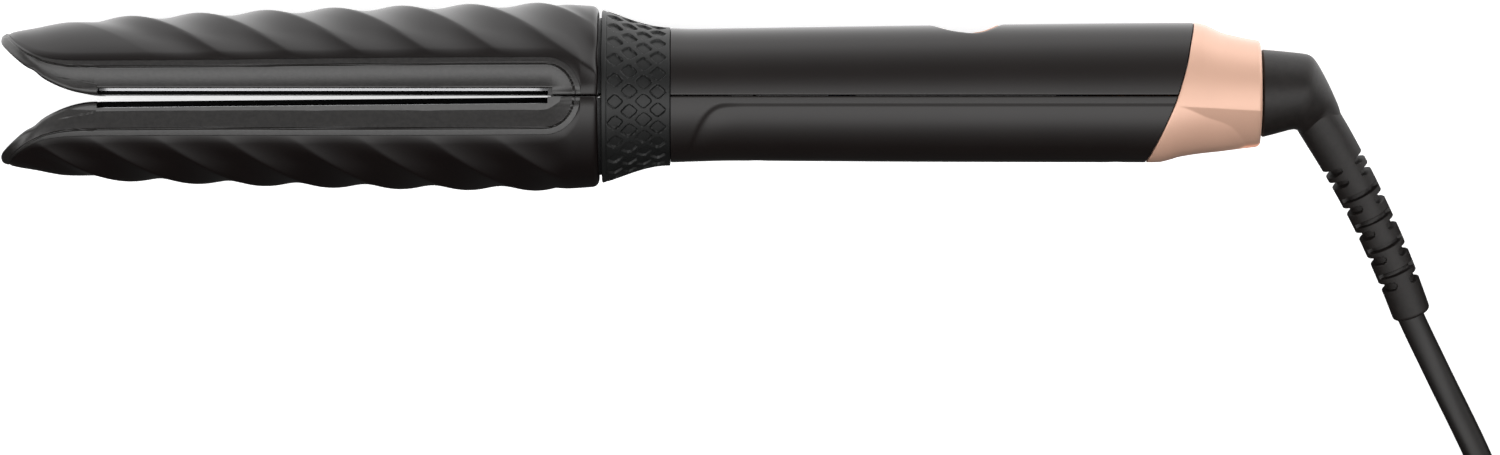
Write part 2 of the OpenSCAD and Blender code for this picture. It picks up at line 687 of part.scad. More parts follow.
// One unbroken tube through points p, with round ends square to the first and last stretch
function unit(v) = v / norm(v);
function heading(p, i) = let (n = len(p) - 1)
    unit(i == 0 ? p[1] - p[0] : i == n ? p[n] - p[n - 1] : unit(p[i + 1] - p[i]) + unit(p[i] - p[i - 1]));
function side_of(h) = unit(cross([0, 0, 1], h));
function tube_ring(c, h, r, n) = let (s = side_of(h), u = cross(h, s))
    [for (k = [0:n - 1]) c + r * (s * cos(360 * (k + 0.5) / n) + u * sin(360 * (k + 0.5) / n))];
module tube(p, first, r, n) {
    last = len(p) - 1;
    pts = [for (i = [0:last]) each tube_ring(p[i], i == 0 ? first : heading(p, i), r, n)];
    sides = [for (i = [0:last - 1], k = [0:n - 1]) let (a = i * n + k, b = i * n + (k + 1) % n)
        each [[a, a + n, b], [b, a + n, b + n]]];
    caps = [for (k = [1:n - 2]) each [[0, k, k + 1], [last * n, last * n + k + 1, last * n + k]]];
    polyhedron(points = pts, faces = concat(sides, caps));
}
relief_axis = [cos(relief_dir), -sin(relief_dir) * cos(swivel_tilt), -sin(relief_dir) * sin(swivel_tilt)];
module cord_run() {
    color("#2d2b2a") tube(concat([cord_tip], CORD_ROUTE), relief_axis, cord_d / 2, 8);
}

// Coil: loops that spiral in and out at a steady rate and climb a layer where the spiral reverses
function coil_fold(t) = let (k = floor(t / coil_layer_loops), f = t - k * coil_layer_loops)
    k % 2 == 0 ? coil_layer_loops - f : f;
function coil_height(t) = coil_z
    + coil_pitch * ([for (k = [1:3]) smooth((t - k * coil_layer_loops + 0.25) * 2)] * [1, 1, 1])
    + coil_end_rise * smooth((t - coil_loops + 0.35) / 0.35);
function coil_point(t) = let (r = coil_in_r + coil_pitch * coil_fold(t), a = -360 * t)
    [coil_centre[0] + r * cos(a), coil_centre[1] + r * sin(a), coil_height(t)];
coil_steps = 24;
coil_path = concat(
    [[coil_centre[0] + coil_out_r, coil_centre[1] + cord_d, coil_z]],
    [for (i = [0:coil_loops * coil_steps]) coil_point(i / coil_steps)],
    [[plug_x, plug_y, plug_z]]);
// Least gap of the coil to itself, between points that are at least a third of a loop apart
coil_gap = min([for (i = [0:len(coil_path) - 1], j = [i + 8:1:len(coil_path) - 1])
    norm(coil_path[i] - coil_path[j])]) - cord_d;
echo(coil_gap_mm = coil_gap);
module cord_coil() {
    color("#2d2b2a") tube(coil_path, [0, -1, 0], cord_d / 2, coil_sides);
}
module cord_tie() {
    in_r = coil_in_r - cord_d / 2 - body_gap;
    wide = coil_out_r + cord_d / 2 + body_gap - in_r;
    high = coil_z + cord_d / 2 + 2 * coil_pitch + 3.2;
    color("#1b1b1b") translate([coil_centre[0], coil_centre[1], 0]) rotate([0, 0, tie_angle])
        translate([in_r, tie_w / 2, 0]) rotate([90, 0, 0]) linear_extrude(tie_w) difference() {
            translate([-tie_t, 0]) square([wide + 2 * tie_t, high]);
            translate([0, tie_t]) square([wide, high - 2 * tie_t]);
        }
}
module plug_body() {
    w = 13.6;
    h = 6.8;
    color("#2d2b2a") translate([plug_x, plug_y, plug_z]) rotate([0, 0, 180]) {
        turned([[0, 0], [4, 0], [5, plug_neck_l + 1], [0, plug_neck_l + 1]]);
        hull() {
            translate([plug_neck_l, 0, 0]) rotate([0, 90, 0]) cylinder(r = 5.4, h = 1, $fn = 32);
            for (s = [-1, 1], v = [-1, 1]) {
                translate([plug_neck_l + 12, s * (w - 2), v * (h - 2)]) rotate([0, 90, 0])
                    cylinder(r = 2, h = 1, $fn = 32);
                translate([plug_neck_l + plug_body_l - 1, s * (w - 2), v * (h - 3)]) rotate([0, 90, 0])
                    cylinder(r = 2, h = 1, $fn = 32);
            }
        }
    }
}
module plug_pins() {
    color("silver") translate([plug_x - plug_neck_l - plug_body_l, plug_y, plug_z]) for (s = [-1, 1])
        translate([0, s * pin_pitch / 2, 0]) rotate([0, -90, 0]) cylinder(d = pin_d, h = pin_l);
}

upper_jaw() barrel_shell();  // upper_barrel
upper_jaw() jaw_carrier();  // upper_carrier
upper_jaw() jaw_nose();  // upper_nose
upper_jaw() jaw_screws();  // upper_screws
upper_jaw() plate();  // upper_plate
upper_jaw() plate_heater();  // upper_heater
upper_jaw() plate_heater_clip();  // upper_heater_clip
upper_jaw() plate_cushions();  // upper_cushions
upper_jaw() plate_thermistor();  // upper_thermistor
upper_jaw() plate_leads();  // upper_leads
lower_jaw() barrel_shell();  // lower_barrel
lower_jaw() jaw_carrier();  // lower_carrier
lower_jaw() jaw_nose();  // lower_nose
lower_jaw() jaw_screws();  // lower_screws
lower_jaw() plate();  // lower_plate
lower_jaw() plate_heater();  // lower_heater
lower_jaw() plate_heater_clip();  // lower_heater_clip
lower_jaw() plate_cushions();  // lower_cushions
lower_jaw() plate_thermistor();  // lower_thermistor
lower_jaw() plate_leads();  // lower_leads
jaw_mount();
jaw_pins();
closing_springs();
opening_sleeve();
collar_grip();
cam_ring();
upper_handle();
lower_handle();
handle_screws();
control_bezel();
control_panel();
power_button();
minus_button();
plus_button();
circuit_board();
board_parts();
button_switches();
handle_wires();
mains_wires();
end_cap();
swivel_socket();
swivel_contacts();
swivel_core();
slip_rings();
elbow();
strain_relief();
cord_run();
cord_coil();
cord_tie();
plug_body();
plug_pins();
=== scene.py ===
import math

import bpy
import numpy as np
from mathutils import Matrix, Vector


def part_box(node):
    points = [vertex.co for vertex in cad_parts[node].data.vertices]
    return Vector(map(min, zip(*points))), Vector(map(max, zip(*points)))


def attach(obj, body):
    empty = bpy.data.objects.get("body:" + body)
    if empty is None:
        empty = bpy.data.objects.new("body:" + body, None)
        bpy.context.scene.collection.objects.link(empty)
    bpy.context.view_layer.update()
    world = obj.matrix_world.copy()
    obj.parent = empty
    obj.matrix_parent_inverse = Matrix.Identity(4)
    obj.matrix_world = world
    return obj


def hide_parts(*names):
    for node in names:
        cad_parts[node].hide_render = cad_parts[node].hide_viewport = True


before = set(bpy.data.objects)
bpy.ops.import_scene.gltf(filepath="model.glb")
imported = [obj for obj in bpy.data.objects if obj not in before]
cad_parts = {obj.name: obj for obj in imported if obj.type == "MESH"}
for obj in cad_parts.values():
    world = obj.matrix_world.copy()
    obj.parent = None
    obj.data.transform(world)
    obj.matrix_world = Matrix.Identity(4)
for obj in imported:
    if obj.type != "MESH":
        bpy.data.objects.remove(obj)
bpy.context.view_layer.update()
print("stage: frame loaded")

# Shapes are worked out in millimetres: X from the tips to the cord, Y from the lower jaw to the
# upper one, and Z towards the camera, with the barrel's axis at Y = Z = 0.
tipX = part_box("upper_barrel")[0].x
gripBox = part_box("collar_grip")
axisZ = (gripBox[0].z + gripBox[1].z) / 2


def toRow(points):
    return np.asarray(points, float) / 1000 + np.array([tipX, 0, axisZ])


def smooth(t):
    s = np.clip(t, 0, 1)
    return s * s * (3 - 2 * s)


def mix(a, b, t):
    return a + (b - a) * t


# A sine or cosine whose curve is squarer the smaller the power is
def squared(wave, power):
    return np.sign(wave) * np.abs(wave) ** power


# Points from separate coordinates, which are first spread to one shape
def gather(x, y, z):
    return np.stack(np.broadcast_arrays(x, y, z), axis=-1)


# A quarter turn's sine in equal steps of angle: 0 to 1, close together at the end
def quarterSine(count, first=0.0):
    return np.sin(np.linspace(first, np.pi / 2, count))


# How far a rounded edge falls at t, which runs from 0 on the flat to 1 at the end
def roundFall(t, full=1.0):
    return 1 - np.sqrt(1 - t ** 2 * full)


# A cubic piece of length h from value a to b with slopes da and db, at t from 0 to 1
def between(a, b, da, db, h, t):
    return ((1 + 2 * t) * (1 - t) ** 2 * a + t * (1 - t) ** 2 * h * da
            + t * t * (3 - 2 * t) * b + t * t * (t - 1) * h * db)


# A smooth line through knots (xs, ys): cubic pieces whose slopes are the harmonic mean of their
# neighbours' slopes, and zero at a peak, so that the line never swings past its knots
def curve(xs, ys, x):
    xs, ys = np.asarray(xs, float), np.asarray(ys, float)
    step = np.diff(xs)
    slope = np.diff(ys) / step
    knot = np.zeros(len(xs))
    same = slope[:-1] * slope[1:] > 0
    knot[1:-1][same] = (2 * slope[:-1] * slope[1:] / (slope[:-1] + slope[1:] + 1e-12))[same]
    knot[0], knot[-1] = slope[0], slope[-1]
    x = np.clip(np.asarray(x, float), xs[0], xs[-1])
    i = np.clip(np.searchsorted(xs, x, side="right") - 1, 0, len(step) - 1)
    h = step[i]
    return between(ys[i], ys[i + 1], knot[i], knot[i + 1], h, (x - xs[i]) / h)


# ---- shader graphs: a Wire is an output socket, and sums on it add Math nodes

class Wire:
    def __init__(self, tree, socket):
        self.tree = tree
        self.socket = socket

    def math(self, operation, first, second):
        node = self.tree.nodes.new("ShaderNodeMath")
        node.operation = operation
        for i, value in enumerate((first, second)):
            if isinstance(value, Wire):
                self.tree.links.new(value.socket, node.inputs[i])
            else:
                node.inputs[i].default_value = value
        return Wire(self.tree, node.outputs[0])

    def __add__(self, other):
        return self.math("ADD", self, other)

    def __radd__(self, other):
        return self.math("ADD", other, self)

    def __sub__(self, other):
        return self.math("SUBTRACT", self, other)

    def __rsub__(self, other):
        return self.math("SUBTRACT", other, self)

    def __mul__(self, other):
        return self.math("MULTIPLY", self, other)

    def __rmul__(self, other):
        return self.math("MULTIPLY", other, self)

    def __truediv__(self, other):
        return self.math("DIVIDE", self, other)

    # 0 below low and 1 over high, with a smooth step between
    def ramp(self, low, high):
        node = self.tree.nodes.new("ShaderNodeMapRange")
        node.interpolation_type = "SMOOTHSTEP"
        self.tree.links.new(self.socket, node.inputs["Value"])
        node.inputs["From Min"].default_value = low
        node.inputs["From Max"].default_value = high
        return Wire(self.tree, node.outputs["Result"])


class Graph:
    def __init__(self, name, owner=None):
        self.owner = owner or bpy.data.materials.new(name)
        self.owner.use_nodes = True
        self.tree = self.owner.node_tree
        self.tree.nodes.clear()

    # Makes any node: plain values are set on its sockets or properties, and wires are linked
    def node(self, kind, output=0, sockets=None, **properties):
        node = self.tree.nodes.new("ShaderNode" + kind)
        for key, value in properties.items():
            setattr(node, key, value)
        for key, value in (sockets or {}).items():
            if isinstance(value, Wire):
                self.tree.links.new(value.socket, node.inputs[key])
            else:
                node.inputs[key].default_value = value
        return Wire(self.tree, node.outputs[output])

    def noise(self, vector, scale, detail=3.0, roughness=0.55):
        return self.node("TexNoise", "Fac", {
            "Vector": vector, "Scale": scale, "Detail": detail, "Roughness": roughness})

    def colours(self, factor, low, high):
        return self.node("Mix", 2, {0: factor, 6: (*low, 1), 7: (*high, 1)}, data_type="RGBA")

    def finish(self, surface):
        kind = "OutputWorld" if isinstance(self.owner, bpy.types.World) else "OutputMaterial"
        end = self.tree.nodes.new("ShaderNode" + kind)
        self.tree.links.new(surface.socket, end.inputs[0])
        return self.owner


# A moulded or metal finish: two tones mixed by a broad mottle, roughness by a finer one,
# and a bump of fine grain, all in the object's own coordinates
def surface(name, low, high, rough, spread, mottle, grain, bump, metal=0.0, bumpDepth=0.00004,
            stretch=(1, 1, 1), coat=0.0, coatRough=0.2, specular=0.5, sheen=0.0):
    g = Graph(name)
    place = g.node("Mapping", 0, {"Vector": g.node("TexCoord", "Object"), "Scale": stretch})
    broad = g.noise(place, mottle, 2.0)
    fine = g.noise(place, grain, 4.0, 0.6)
    base = g.colours(broad.ramp(0.3, 0.7), low, high)
    height = g.node("Bump", "Normal", {
        "Strength": bump, "Distance": bumpDepth, "Height": fine})
    settings = {
        "Base Color": base, "Metallic": metal, "Normal": height,
        "Roughness": rough - spread + fine * (2 * spread),
        "Specular IOR Level": specular, "Coat Weight": coat, "Coat Roughness": coatRough,
        "Sheen Weight": sheen}
    return g.finish(g.node("BsdfPrincipled", 0, settings))


# Columns: the two tones, the roughness and its spread, the scales of the mottle and of the
# grain, and the bump's strength; then what else a finish needs
finishes = {
    "barrel": ((0.0050, 0.0030, 0.0028), (0.0062, 0.0038, 0.0035), 0.31, 0.03, 45, 2600, 0.08),
    "jaw": ((0.0085, 0.0072, 0.0068), (0.0165, 0.0145, 0.0135), 0.36, 0.12, 900, 1900, 0.45,
            dict(specular=0.90)),
    "handle": ((0.0092, 0.0066, 0.0060), (0.0108, 0.0080, 0.0073), 0.30, 0.03, 40, 3200, 0.07),
    "collar": ((0.0060, 0.0063, 0.0061), (0.0092, 0.0096, 0.0094), 0.40, 0.05, 150, 2400, 0.14,
               dict(specular=0.42)),
    "rose": ((0.80, 0.48, 0.35), (0.84, 0.51, 0.375), 0.38, 0.03, 30, 3000, 0.05,
             dict(metal=0.24, coat=0.45, coatRough=0.25)),
    "rubber": ((0.0088, 0.0068, 0.0060), (0.0130, 0.0102, 0.0092), 0.46, 0.08, 500, 1900, 0.55,
               dict(specular=0.42)),
    "cord": ((0.0088, 0.0070, 0.0062), (0.0120, 0.0098, 0.0088), 0.44, 0.05, 90, 1400, 0.14),
    "plate": ((0.44, 0.44, 0.45), (0.50, 0.50, 0.51), 0.26, 0.05, 60, 900, 0.05,
              dict(metal=1.0, stretch=(0.04, 1, 1))),
    "coating": ((0.006, 0.006, 0.0062), (0.009, 0.009, 0.0092), 0.22, 0.05, 700, 2600, 0.05),
    "steel": ((0.50, 0.50, 0.51), (0.60, 0.60, 0.61), 0.30, 0.08, 200, 1600, 0.08,
              dict(metal=1.0, stretch=(1, 0.2, 1))),
    "ceramic": ((0.66, 0.63, 0.55), (0.74, 0.71, 0.64), 0.62, 0.08, 250, 1800, 0.20),
    "silicone": ((0.34, 0.075, 0.035), (0.40, 0.095, 0.045), 0.50, 0.06, 200, 1400, 0.12),
    "mount": ((0.016, 0.016, 0.017), (0.024, 0.024, 0.025), 0.46, 0.06, 160, 1700, 0.16),
    "sleeve": ((0.52, 0.48, 0.39), (0.60, 0.56, 0.46), 0.42, 0.05, 120, 1900, 0.10),
    "panel": ((0.004, 0.004, 0.004), (0.006, 0.0056, 0.0056), 0.16, 0.03, 80, 3200, 0.03),
    "key": ((0.030, 0.028, 0.027), (0.038, 0.036, 0.035), 0.34, 0.04, 120, 3000, 0.06),
    "board": ((0.010, 0.075, 0.028), (0.016, 0.10, 0.040), 0.32, 0.08, 700, 2600, 0.14),
    "parts": ((0.020, 0.050, 0.085), (0.035, 0.075, 0.12), 0.42, 0.07, 300, 2200, 0.10),
    "wire": ((0.62, 0.60, 0.56), (0.70, 0.68, 0.64), 0.45, 0.05, 200, 1500, 0.10),
    "mains": ((0.16, 0.055, 0.018), (0.20, 0.075, 0.025), 0.42, 0.05, 200, 1500, 0.10),
    "strap": ((0.008, 0.008, 0.008), (0.016, 0.016, 0.016), 0.80, 0.10, 900, 2600, 0.60,
              dict(bumpDepth=0.00012, sheen=0.1)),
    "contact": ((0.60, 0.44, 0.18), (0.70, 0.52, 0.24), 0.30, 0.06, 300, 1600, 0.06,
                dict(metal=1.0)),
}
finish = {name: surface(name, *row[:7], **dict(*row[7:])) for name, row in finishes.items()}
print("stage: materials")


# ---- meshes

# Joins rings of equal length into one closed skin. rings is an array (ring, point, 3). The first
# and last rings are filled, or closedAlong joins them to each other.
def skin(rings, closedAlong=False):
    rows, count = rings.shape[:2]
    i = np.arange(rows if closedAlong else rows - 1)[:, None]
    k = np.arange(count)[None, :]
    a = i * count + k
    b = i * count + (k + 1) % count
    c = ((i + 1) % rows) * count + (k + 1) % count
    d = ((i + 1) % rows) * count + k
    faces = np.stack([a, b, c, d], axis=-1).reshape(-1, 4).tolist()
    if not closedAlong:
        faces.append(list(range(count))[::-1])
        faces.append([(rows - 1) * count + n for n in range(count)])
    return rings.reshape(-1, 3), faces


# Puts several (points, faces) shapes together in one
def joined(*parts):
    points, faces, start = [], [], 0
    for p, f in parts:
        points.append(np.asarray(p, float))
        faces += [[n + start for n in face] for face in f]
        start += len(p)
    return np.concatenate(points), faces


# Makes an object from millimetre points. A closed skin that came out inside out is turned round.
def piece(name, shape, material, body, nodes=(), crease=38):
    points, faces = shape
    row = toRow(points)
    mesh = bpy.data.meshes.new(name)
    mesh.from_pydata(row.tolist(), [], faces)
    mesh.update()
    mesh.calc_loop_triangles()
    corners = np.zeros(len(mesh.loop_triangles) * 3, np.int32)
    mesh.loop_triangles.foreach_get("vertices", corners)
    t = row[corners.reshape(-1, 3)] - row.mean(axis=0)
    if np.einsum("ij,ij->i", t[:, 0], np.cross(t[:, 1], t[:, 2])).sum() < 0:
        mesh.flip_normals()
    mesh.shade_smooth()
    mesh.set_sharp_from_angle(angle=math.radians(crease))
    mesh.materials.append(material)
    obj = bpy.data.objects.new(name, mesh)
    bpy.context.scene.collection.objects.link(obj)
    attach(obj, body)
    if nodes:
        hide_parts(*nodes)
    return obj


# Cuts closed meshes out of a piece with a boolean that is applied at once
def cut(obj, *shapes):
    for points, faces in shapes:
        mesh = bpy.data.meshes.new("cutter")
        mesh.from_pydata(toRow(points).tolist(), [], faces)
        tool = bpy.data.objects.new("cutter", mesh)
        bpy.context.scene.collection.objects.link(tool)
        change = obj.modifiers.new("cut", "BOOLEAN")
        change.operation = "DIFFERENCE"
        change.solver = "EXACT"
        change.object = tool
        bpy.context.view_layer.update()
        result = bpy.data.meshes.new_from_object(
            obj.evaluated_get(bpy.context.evaluated_depsgraph_get()))
        obj.modifiers.clear()
        obj.data = result
        bpy.data.objects.remove(tool)
    obj.data.shade_smooth()
    obj.data.set_sharp_from_angle(angle=math.radians(38))


def circle(count):
    a = np.linspace(0, 2 * np.pi, count, endpoint=False)
    return np.cos(a), np.sin(a)


# Solid of revolution about an axis through origin along direction, from a list of
# (distance along the axis, radius)
def lathe(profile, origin, direction, count=64):
    along = np.array([p[0] for p in profile], float)
    radius = np.array([p[1] for p in profile], float)
    d = np.asarray(direction, float) / np.linalg.norm(direction)
    helper = np.array([0, 0, 1.0]) if abs(d[2]) < 0.9 else np.array([1.0, 0, 0])
    u = np.cross(helper, d)
    u /= np.linalg.norm(u)
    v = np.cross(d, u)
    c, s = circle(count)
    rings = (np.asarray(origin, float) + along[:, None, None] * d
             + radius[:, None, None] * (c[None, :, None] * u + s[None, :, None] * v))
    return skin(rings)


# Tube through points: every ring keeps its upright as near to +Z as the path allows
def tube(path, radius, count=20):
    path = np.asarray(path, float)
    ahead = np.gradient(path, axis=0)
    ahead /= np.linalg.norm(ahead, axis=1)[:, None]
    side = np.cross(np.array([0, 0, 1.0]), ahead)
    side /= np.linalg.norm(side, axis=1)[:, None]
    up = np.cross(ahead, side)
    c, s = circle(count)
    rings = path[:, None, :] + np.asarray(radius).reshape(-1, 1, 1) * (
        c[None, :, None] * side[:, None, :] + s[None, :, None] * up[:, None, :])
    return skin(rings)


# ---- camera

cameraSettings = dict(across=375.0, distance=2400.0, sensor=36.0, middle=(187.0, -32.775, 0.0))
middle = toRow(cameraSettings["middle"])
cameraData = bpy.data.cameras.new("camera")
cameraData.sensor_fit = "HORIZONTAL"
cameraData.sensor_width = cameraSettings["sensor"]
cameraData.lens = cameraSettings["sensor"] * cameraSettings["distance"] / cameraSettings["across"]
cameraData.clip_end = 50
camera = bpy.data.objects.new("camera", cameraData)
camera.location = (middle[0], middle[1], middle[2] + cameraSettings["distance"] / 1000)
bpy.context.scene.collection.objects.link(camera)
bpy.context.scene.camera = camera
print("stage: camera")

# ---- cord: the run from the strain relief to the table, then the coil, as one tube

swivelY = 0.75
swivelTilt = math.radians(16)
rearX = 314.55


# Points drawn for an untilted swivel, turned by its tilt about the handle's length
def onSwivel(points):
    x, y, z = np.moveaxis(np.asarray(points, float), -1, 0)
    c, s = math.cos(swivelTilt), math.sin(swivelTilt)
    return gather(x, swivelY + y * c - z * s, y * s + z * c)


cordSettings = dict(diameter=6.7, coilIn=27.2, pitch=7.15, layerLoops=3.2, loops=10.25,
                    centre=(158.42, -146.0), low=4.45, endRise=3.6, endPart=0.35, climbPart=0.5,
                    steps=36)
reliefTip = onSwivel([352.94, -57.43, 0.0])
# The route's points in row millimetres, the same as in part.scad
cordRoute = [
    [188.2, -60.4, 5.6], [191, -66, 4.4], [193.8, -71.7, 3.7], [196.6, -77.3, 3.4],
    [199.4, -83, 3.4], [202.2, -88.9, 3.4], [204.8, -95.1, 3.4], [206.9, -102, 3.4],
    [208.1, -109.3, 3.4], [208.5, -117, 3.6], [208.5, -125, 4.2], [208.5, -132.5, 4.45],
    [208.5, -139.3, 4.45]]
rowShift = np.array([tipX * 1000, 0, axisZ * 1000])


# The coil in row millimetres: t counts loops. Each layer winds in or out by one pitch a loop, and
# the cord climbs by a pitch where a layer ends.
def coilPoints(s):
    t = np.arange(0, s["loops"] + 1e-6, 1 / s["steps"])
    layer = np.floor(t / s["layerLoops"])
    part = t - layer * s["layerLoops"]
    fold = np.where(layer % 2 == 0, s["layerLoops"] - part, part)
    radius = s["coilIn"] + s["pitch"] * fold
    climb = sum(smooth((t - k * s["layerLoops"] + s["climbPart"] / 2) / s["climbPart"])
                for k in (1, 2, 3))
    height = (s["low"] + s["pitch"] * climb
              + s["endRise"] * smooth((t - s["loops"] + s["endPart"]) / s["endPart"]))
    angle = -2 * np.pi * t
    return gather(s["centre"][0] + radius * np.cos(angle),
                  s["centre"][1] + radius * np.sin(angle), height)


# A smooth path through the route: each coordinate follows its own smooth line over the length
def throughPoints(points, step):
    points = np.asarray(points, float)
    reach = np.concatenate([[0], np.cumsum(np.linalg.norm(np.diff(points, axis=0), axis=1))])
    t = np.linspace(0, reach[-1], int(reach[-1] / step) + 1)
    slope = np.gradient(points, reach, axis=0)
    i = np.clip(np.searchsorted(reach, t, side="right") - 1, 0, len(reach) - 2)
    h = (reach[i + 1] - reach[i])[:, None]
    u = (t - reach[i])[:, None] / h
    return between(points[i], points[i + 1], slope[i], slope[i + 1], h, u)


coil = coilPoints(cordSettings)
plugStart = np.array([151.72, -177.85, 29.5])
run = throughPoints([reliefTip + rowShift] + cordRoute, 1.5)
cordPath = np.concatenate([run, coil[1:], [plugStart]])
cord = piece("cord", tube(cordPath - rowShift, cordSettings["diameter"] / 2, 18),
             finish["cord"], "cord_swivel", ["cord_run", "cord_coil"], 60)

# Strap round the coil: a band with rounded corners and eased edges
strapSettings = dict(innerR=23.55, outerR=53.75, thick=0.8, width=8.0, high=25.3, corner=3.0,
                     edge=0.15)


# A box outline (y, z) with rounded corners
def bandRing(y0, y1, z0, z1, corner, count=10):
    a = np.linspace(0, np.pi / 2, count)
    c, s = np.cos(a), np.sin(a)
    spots = [(y1 - corner, z1 - corner, c, s), (y0 + corner, z1 - corner, -s, c),
             (y0 + corner, z0 + corner, -c, -s), (y1 - corner, z0 + corner, s, -c)]
    return np.concatenate([np.stack([y + corner * cc, z + corner * ss], axis=-1)
                           for y, z, cc, ss in spots])


def strapShape(s):
    thick, half = s["thick"], s["width"] / 2
    flat = half - s["edge"]
    outer = bandRing(-s["outerR"] - thick, -s["innerR"] + thick, 0, s["high"], s["corner"])
    inner = bandRing(-s["outerR"], -s["innerR"], thick, s["high"] - thick, s["corner"] - thick)
    near, far = mix(outer, inner, 0.2), mix(outer, inner, 0.8)
    rings = [gather(cordSettings["centre"][0] + ring[:, 0], cordSettings["centre"][1] + across,
                    ring[:, 1])
             for ring, across in ((outer, -flat), (outer, flat), (near, half), (far, half),
                                  (inner, flat), (inner, -flat), (far, -half), (near, -half))]
    points, faces = skin(np.array(rings), closedAlong=True)
    return points - rowShift, faces


strap = piece("cord_strap", strapShape(strapSettings), finish["strap"], "cord_swivel",
              ["cord_tie"])

# Plug: a neck with bend ribs, then a body whose section goes from round to a rounded box
plugSettings = dict(neck=12.0, length=47.0, halfWide=13.6, halfHigh=6.8, ribs=4, ribHigh=0.55,
                    neckR=(3.6, 4.5), bodyR=5.0, shoulder=12.5, endR=1.6, taper=0.9, taperFrom=24,
                    grip=1.1, gripFrom=30, gripTo=44, gripEase=5, pinGap=19.0)


def plugShape(s):
    neck = s["neck"]
    along = np.concatenate([np.linspace(0, neck, 49), np.linspace(neck, s["length"], 60)[1:]])
    wave = np.sin(2 * np.pi * (along / neck * s["ribs"] - 0.25))
    ribs = s["ribHigh"] * smooth((wave + 0.4) * 2) * (along < neck)
    grow = smooth((along - neck) / s["shoulder"])
    round0 = np.where(along < neck, mix(*s["neckR"], along / neck), s["bodyR"])
    taper = s["taper"] * smooth((along - s["taperFrom"]) / (s["length"] - s["taperFrom"]))
    pull = s["endR"] * roundFall(1 - np.clip((s["length"] - along) / s["endR"], 0, 1), 0.999)
    wide = mix(round0, s["halfWide"] - 0.05, grow) + ribs - pull
    high = mix(round0, s["halfHigh"] - taper - 0.05, grow ** 1.2) + ribs - pull
    wide = wide - (s["grip"] * smooth((along - s["gripFrom"]) / s["gripEase"])
                   * smooth((s["gripTo"] - along) / s["gripEase"]))
    power = mix(1.0, 0.62, grow)[:, None]
    c, sn = circle(56)
    ring = gather(-along[:, None], wide[:, None] * squared(c, power),
                  high[:, None] * squared(sn, power))
    points, faces = skin(ring + plugStart)
    return points - rowShift, faces


plug = piece("plug", plugShape(plugSettings), finish["rubber"], "cord_swivel",
             ["plug_body"], 50)
pinStart = plugStart - rowShift - np.array([plugSettings["length"], 0, 0])


# The same turned shape on both pins
def onPins(profile):
    half = plugSettings["pinGap"] / 2
    return joined(*[lathe(profile, pinStart + [0, y, 0], (-1, 0, 0), 32) for y in (-half, half)])


pins = piece("pins", onPins([(0, 2.0), (17.6, 2.0), (18.4, 1.8), (18.85, 1.35), (19.0, 0.7)]),
             finish["steel"], "cord_swivel", ["plug_pins"])
sleeves = piece("pin_sleeves", onPins([(-0.2, 1.9), (0.0, 2.015), (9.7, 2.015), (10.0, 1.95)]),
                finish["panel"], "cord_swivel")

# Strain relief: a tapering sleeve that turns into rings. Slots cut from both sides take turns with
# slots across the front and back, so the rings hang together like a spine.
reliefSettings = dict(
    spine=[(329.85, -8.14), (341.0, -28.24), (353.5, -57.43)], inside=4.4, length=54.7, core=3.9,
    radiusAt=[-4.4, -3.6, -2.4, 0, 12, 21.6, 24, 46, 47.2, 53.9, 54.4, 54.7],
    radius=[4.5, 5.35, 5.72, 5.73, 5.5, 5.32, 5.25, 5.0, 4.95, 4.85, 4.7, 4.35],
    sideSlots=[11.6, 15.0, 22.8, 30.2, 37.6, 45.1], sideHalf=[0.8, 0.8, 1, 1, 1, 1], web=0.34,
    faceSlots=[19.6, 27.1, 34.5, 41.9], faceHalf=0.6, bridge=0.36,
    turn=math.radians(12), rows=300, around=112)


# Rings of falling radius along an arc. A slot takes the radius down to the core except at the web
# or bridge, which is a band of angles about the front and back or about the sides.
def reliefShape(s):
    u = np.linspace(-s["inside"], s["length"], s["rows"])
    k = np.clip(u / s["length"], -0.1, 1)[:, None]
    p = np.array(s["spine"], float)
    # one smooth arc through the three points of the spine
    reach = np.linalg.norm(np.diff(p, axis=0), axis=1)
    m = reach[0] / (reach[0] + reach[1])
    bend = (p[1] - mix(p[0], p[2], m)) / (m * (1 - m))
    spine = mix(p[0], p[2], k) + (k * (1 - k)) * bend
    ahead = np.gradient(spine, axis=0)
    ahead /= np.linalg.norm(ahead, axis=1)[:, None]
    c, sn = circle(s["around"])
    turnC, turnS = math.cos(s["turn"]), math.sin(s["turn"])
    facing = sn * turnC + c * turnS
    across = c * turnC - sn * turnS
    depth = np.zeros((len(u), s["around"]))
    for at, half in zip(s["sideSlots"], s["sideHalf"]):
        web = np.sqrt(np.clip(1 - ((u - at) / half) ** 2, 0, 1))[:, None]
        slot = smooth((np.abs(across) - s["web"] - 0.22 * (1 - web)) / 0.06)
        depth = np.maximum(depth, slot * smooth((half + 0.12 - np.abs(u - at)) / 0.24)[:, None])
    for at in s["faceSlots"]:
        slot = smooth((np.abs(facing) - s["bridge"]) / 0.10)
        wall = smooth((s["faceHalf"] + 0.10 - np.abs(u - at)) / 0.2)[:, None]
        depth = np.maximum(depth, slot * wall)
    radius = curve(s["radiusAt"], s["radius"], u)[:, None]
    radius = radius - depth * (radius - s["core"])
    x = spine[:, :1] - radius * c * ahead[:, 1:]
    y = spine[:, 1:] + radius * c * ahead[:, :1]
    return skin(onSwivel(gather(x, y, radius * sn)))


relief = piece("bend_relief", reliefShape(reliefSettings), finish["rubber"], "cord_swivel",
               ["strain_relief"], 42)

print("stage: plug, strap and strain relief")

# ---- elbow: sections that fan out from the inner corner of the bend, round at the cap and
# narrow where the sleeve comes out

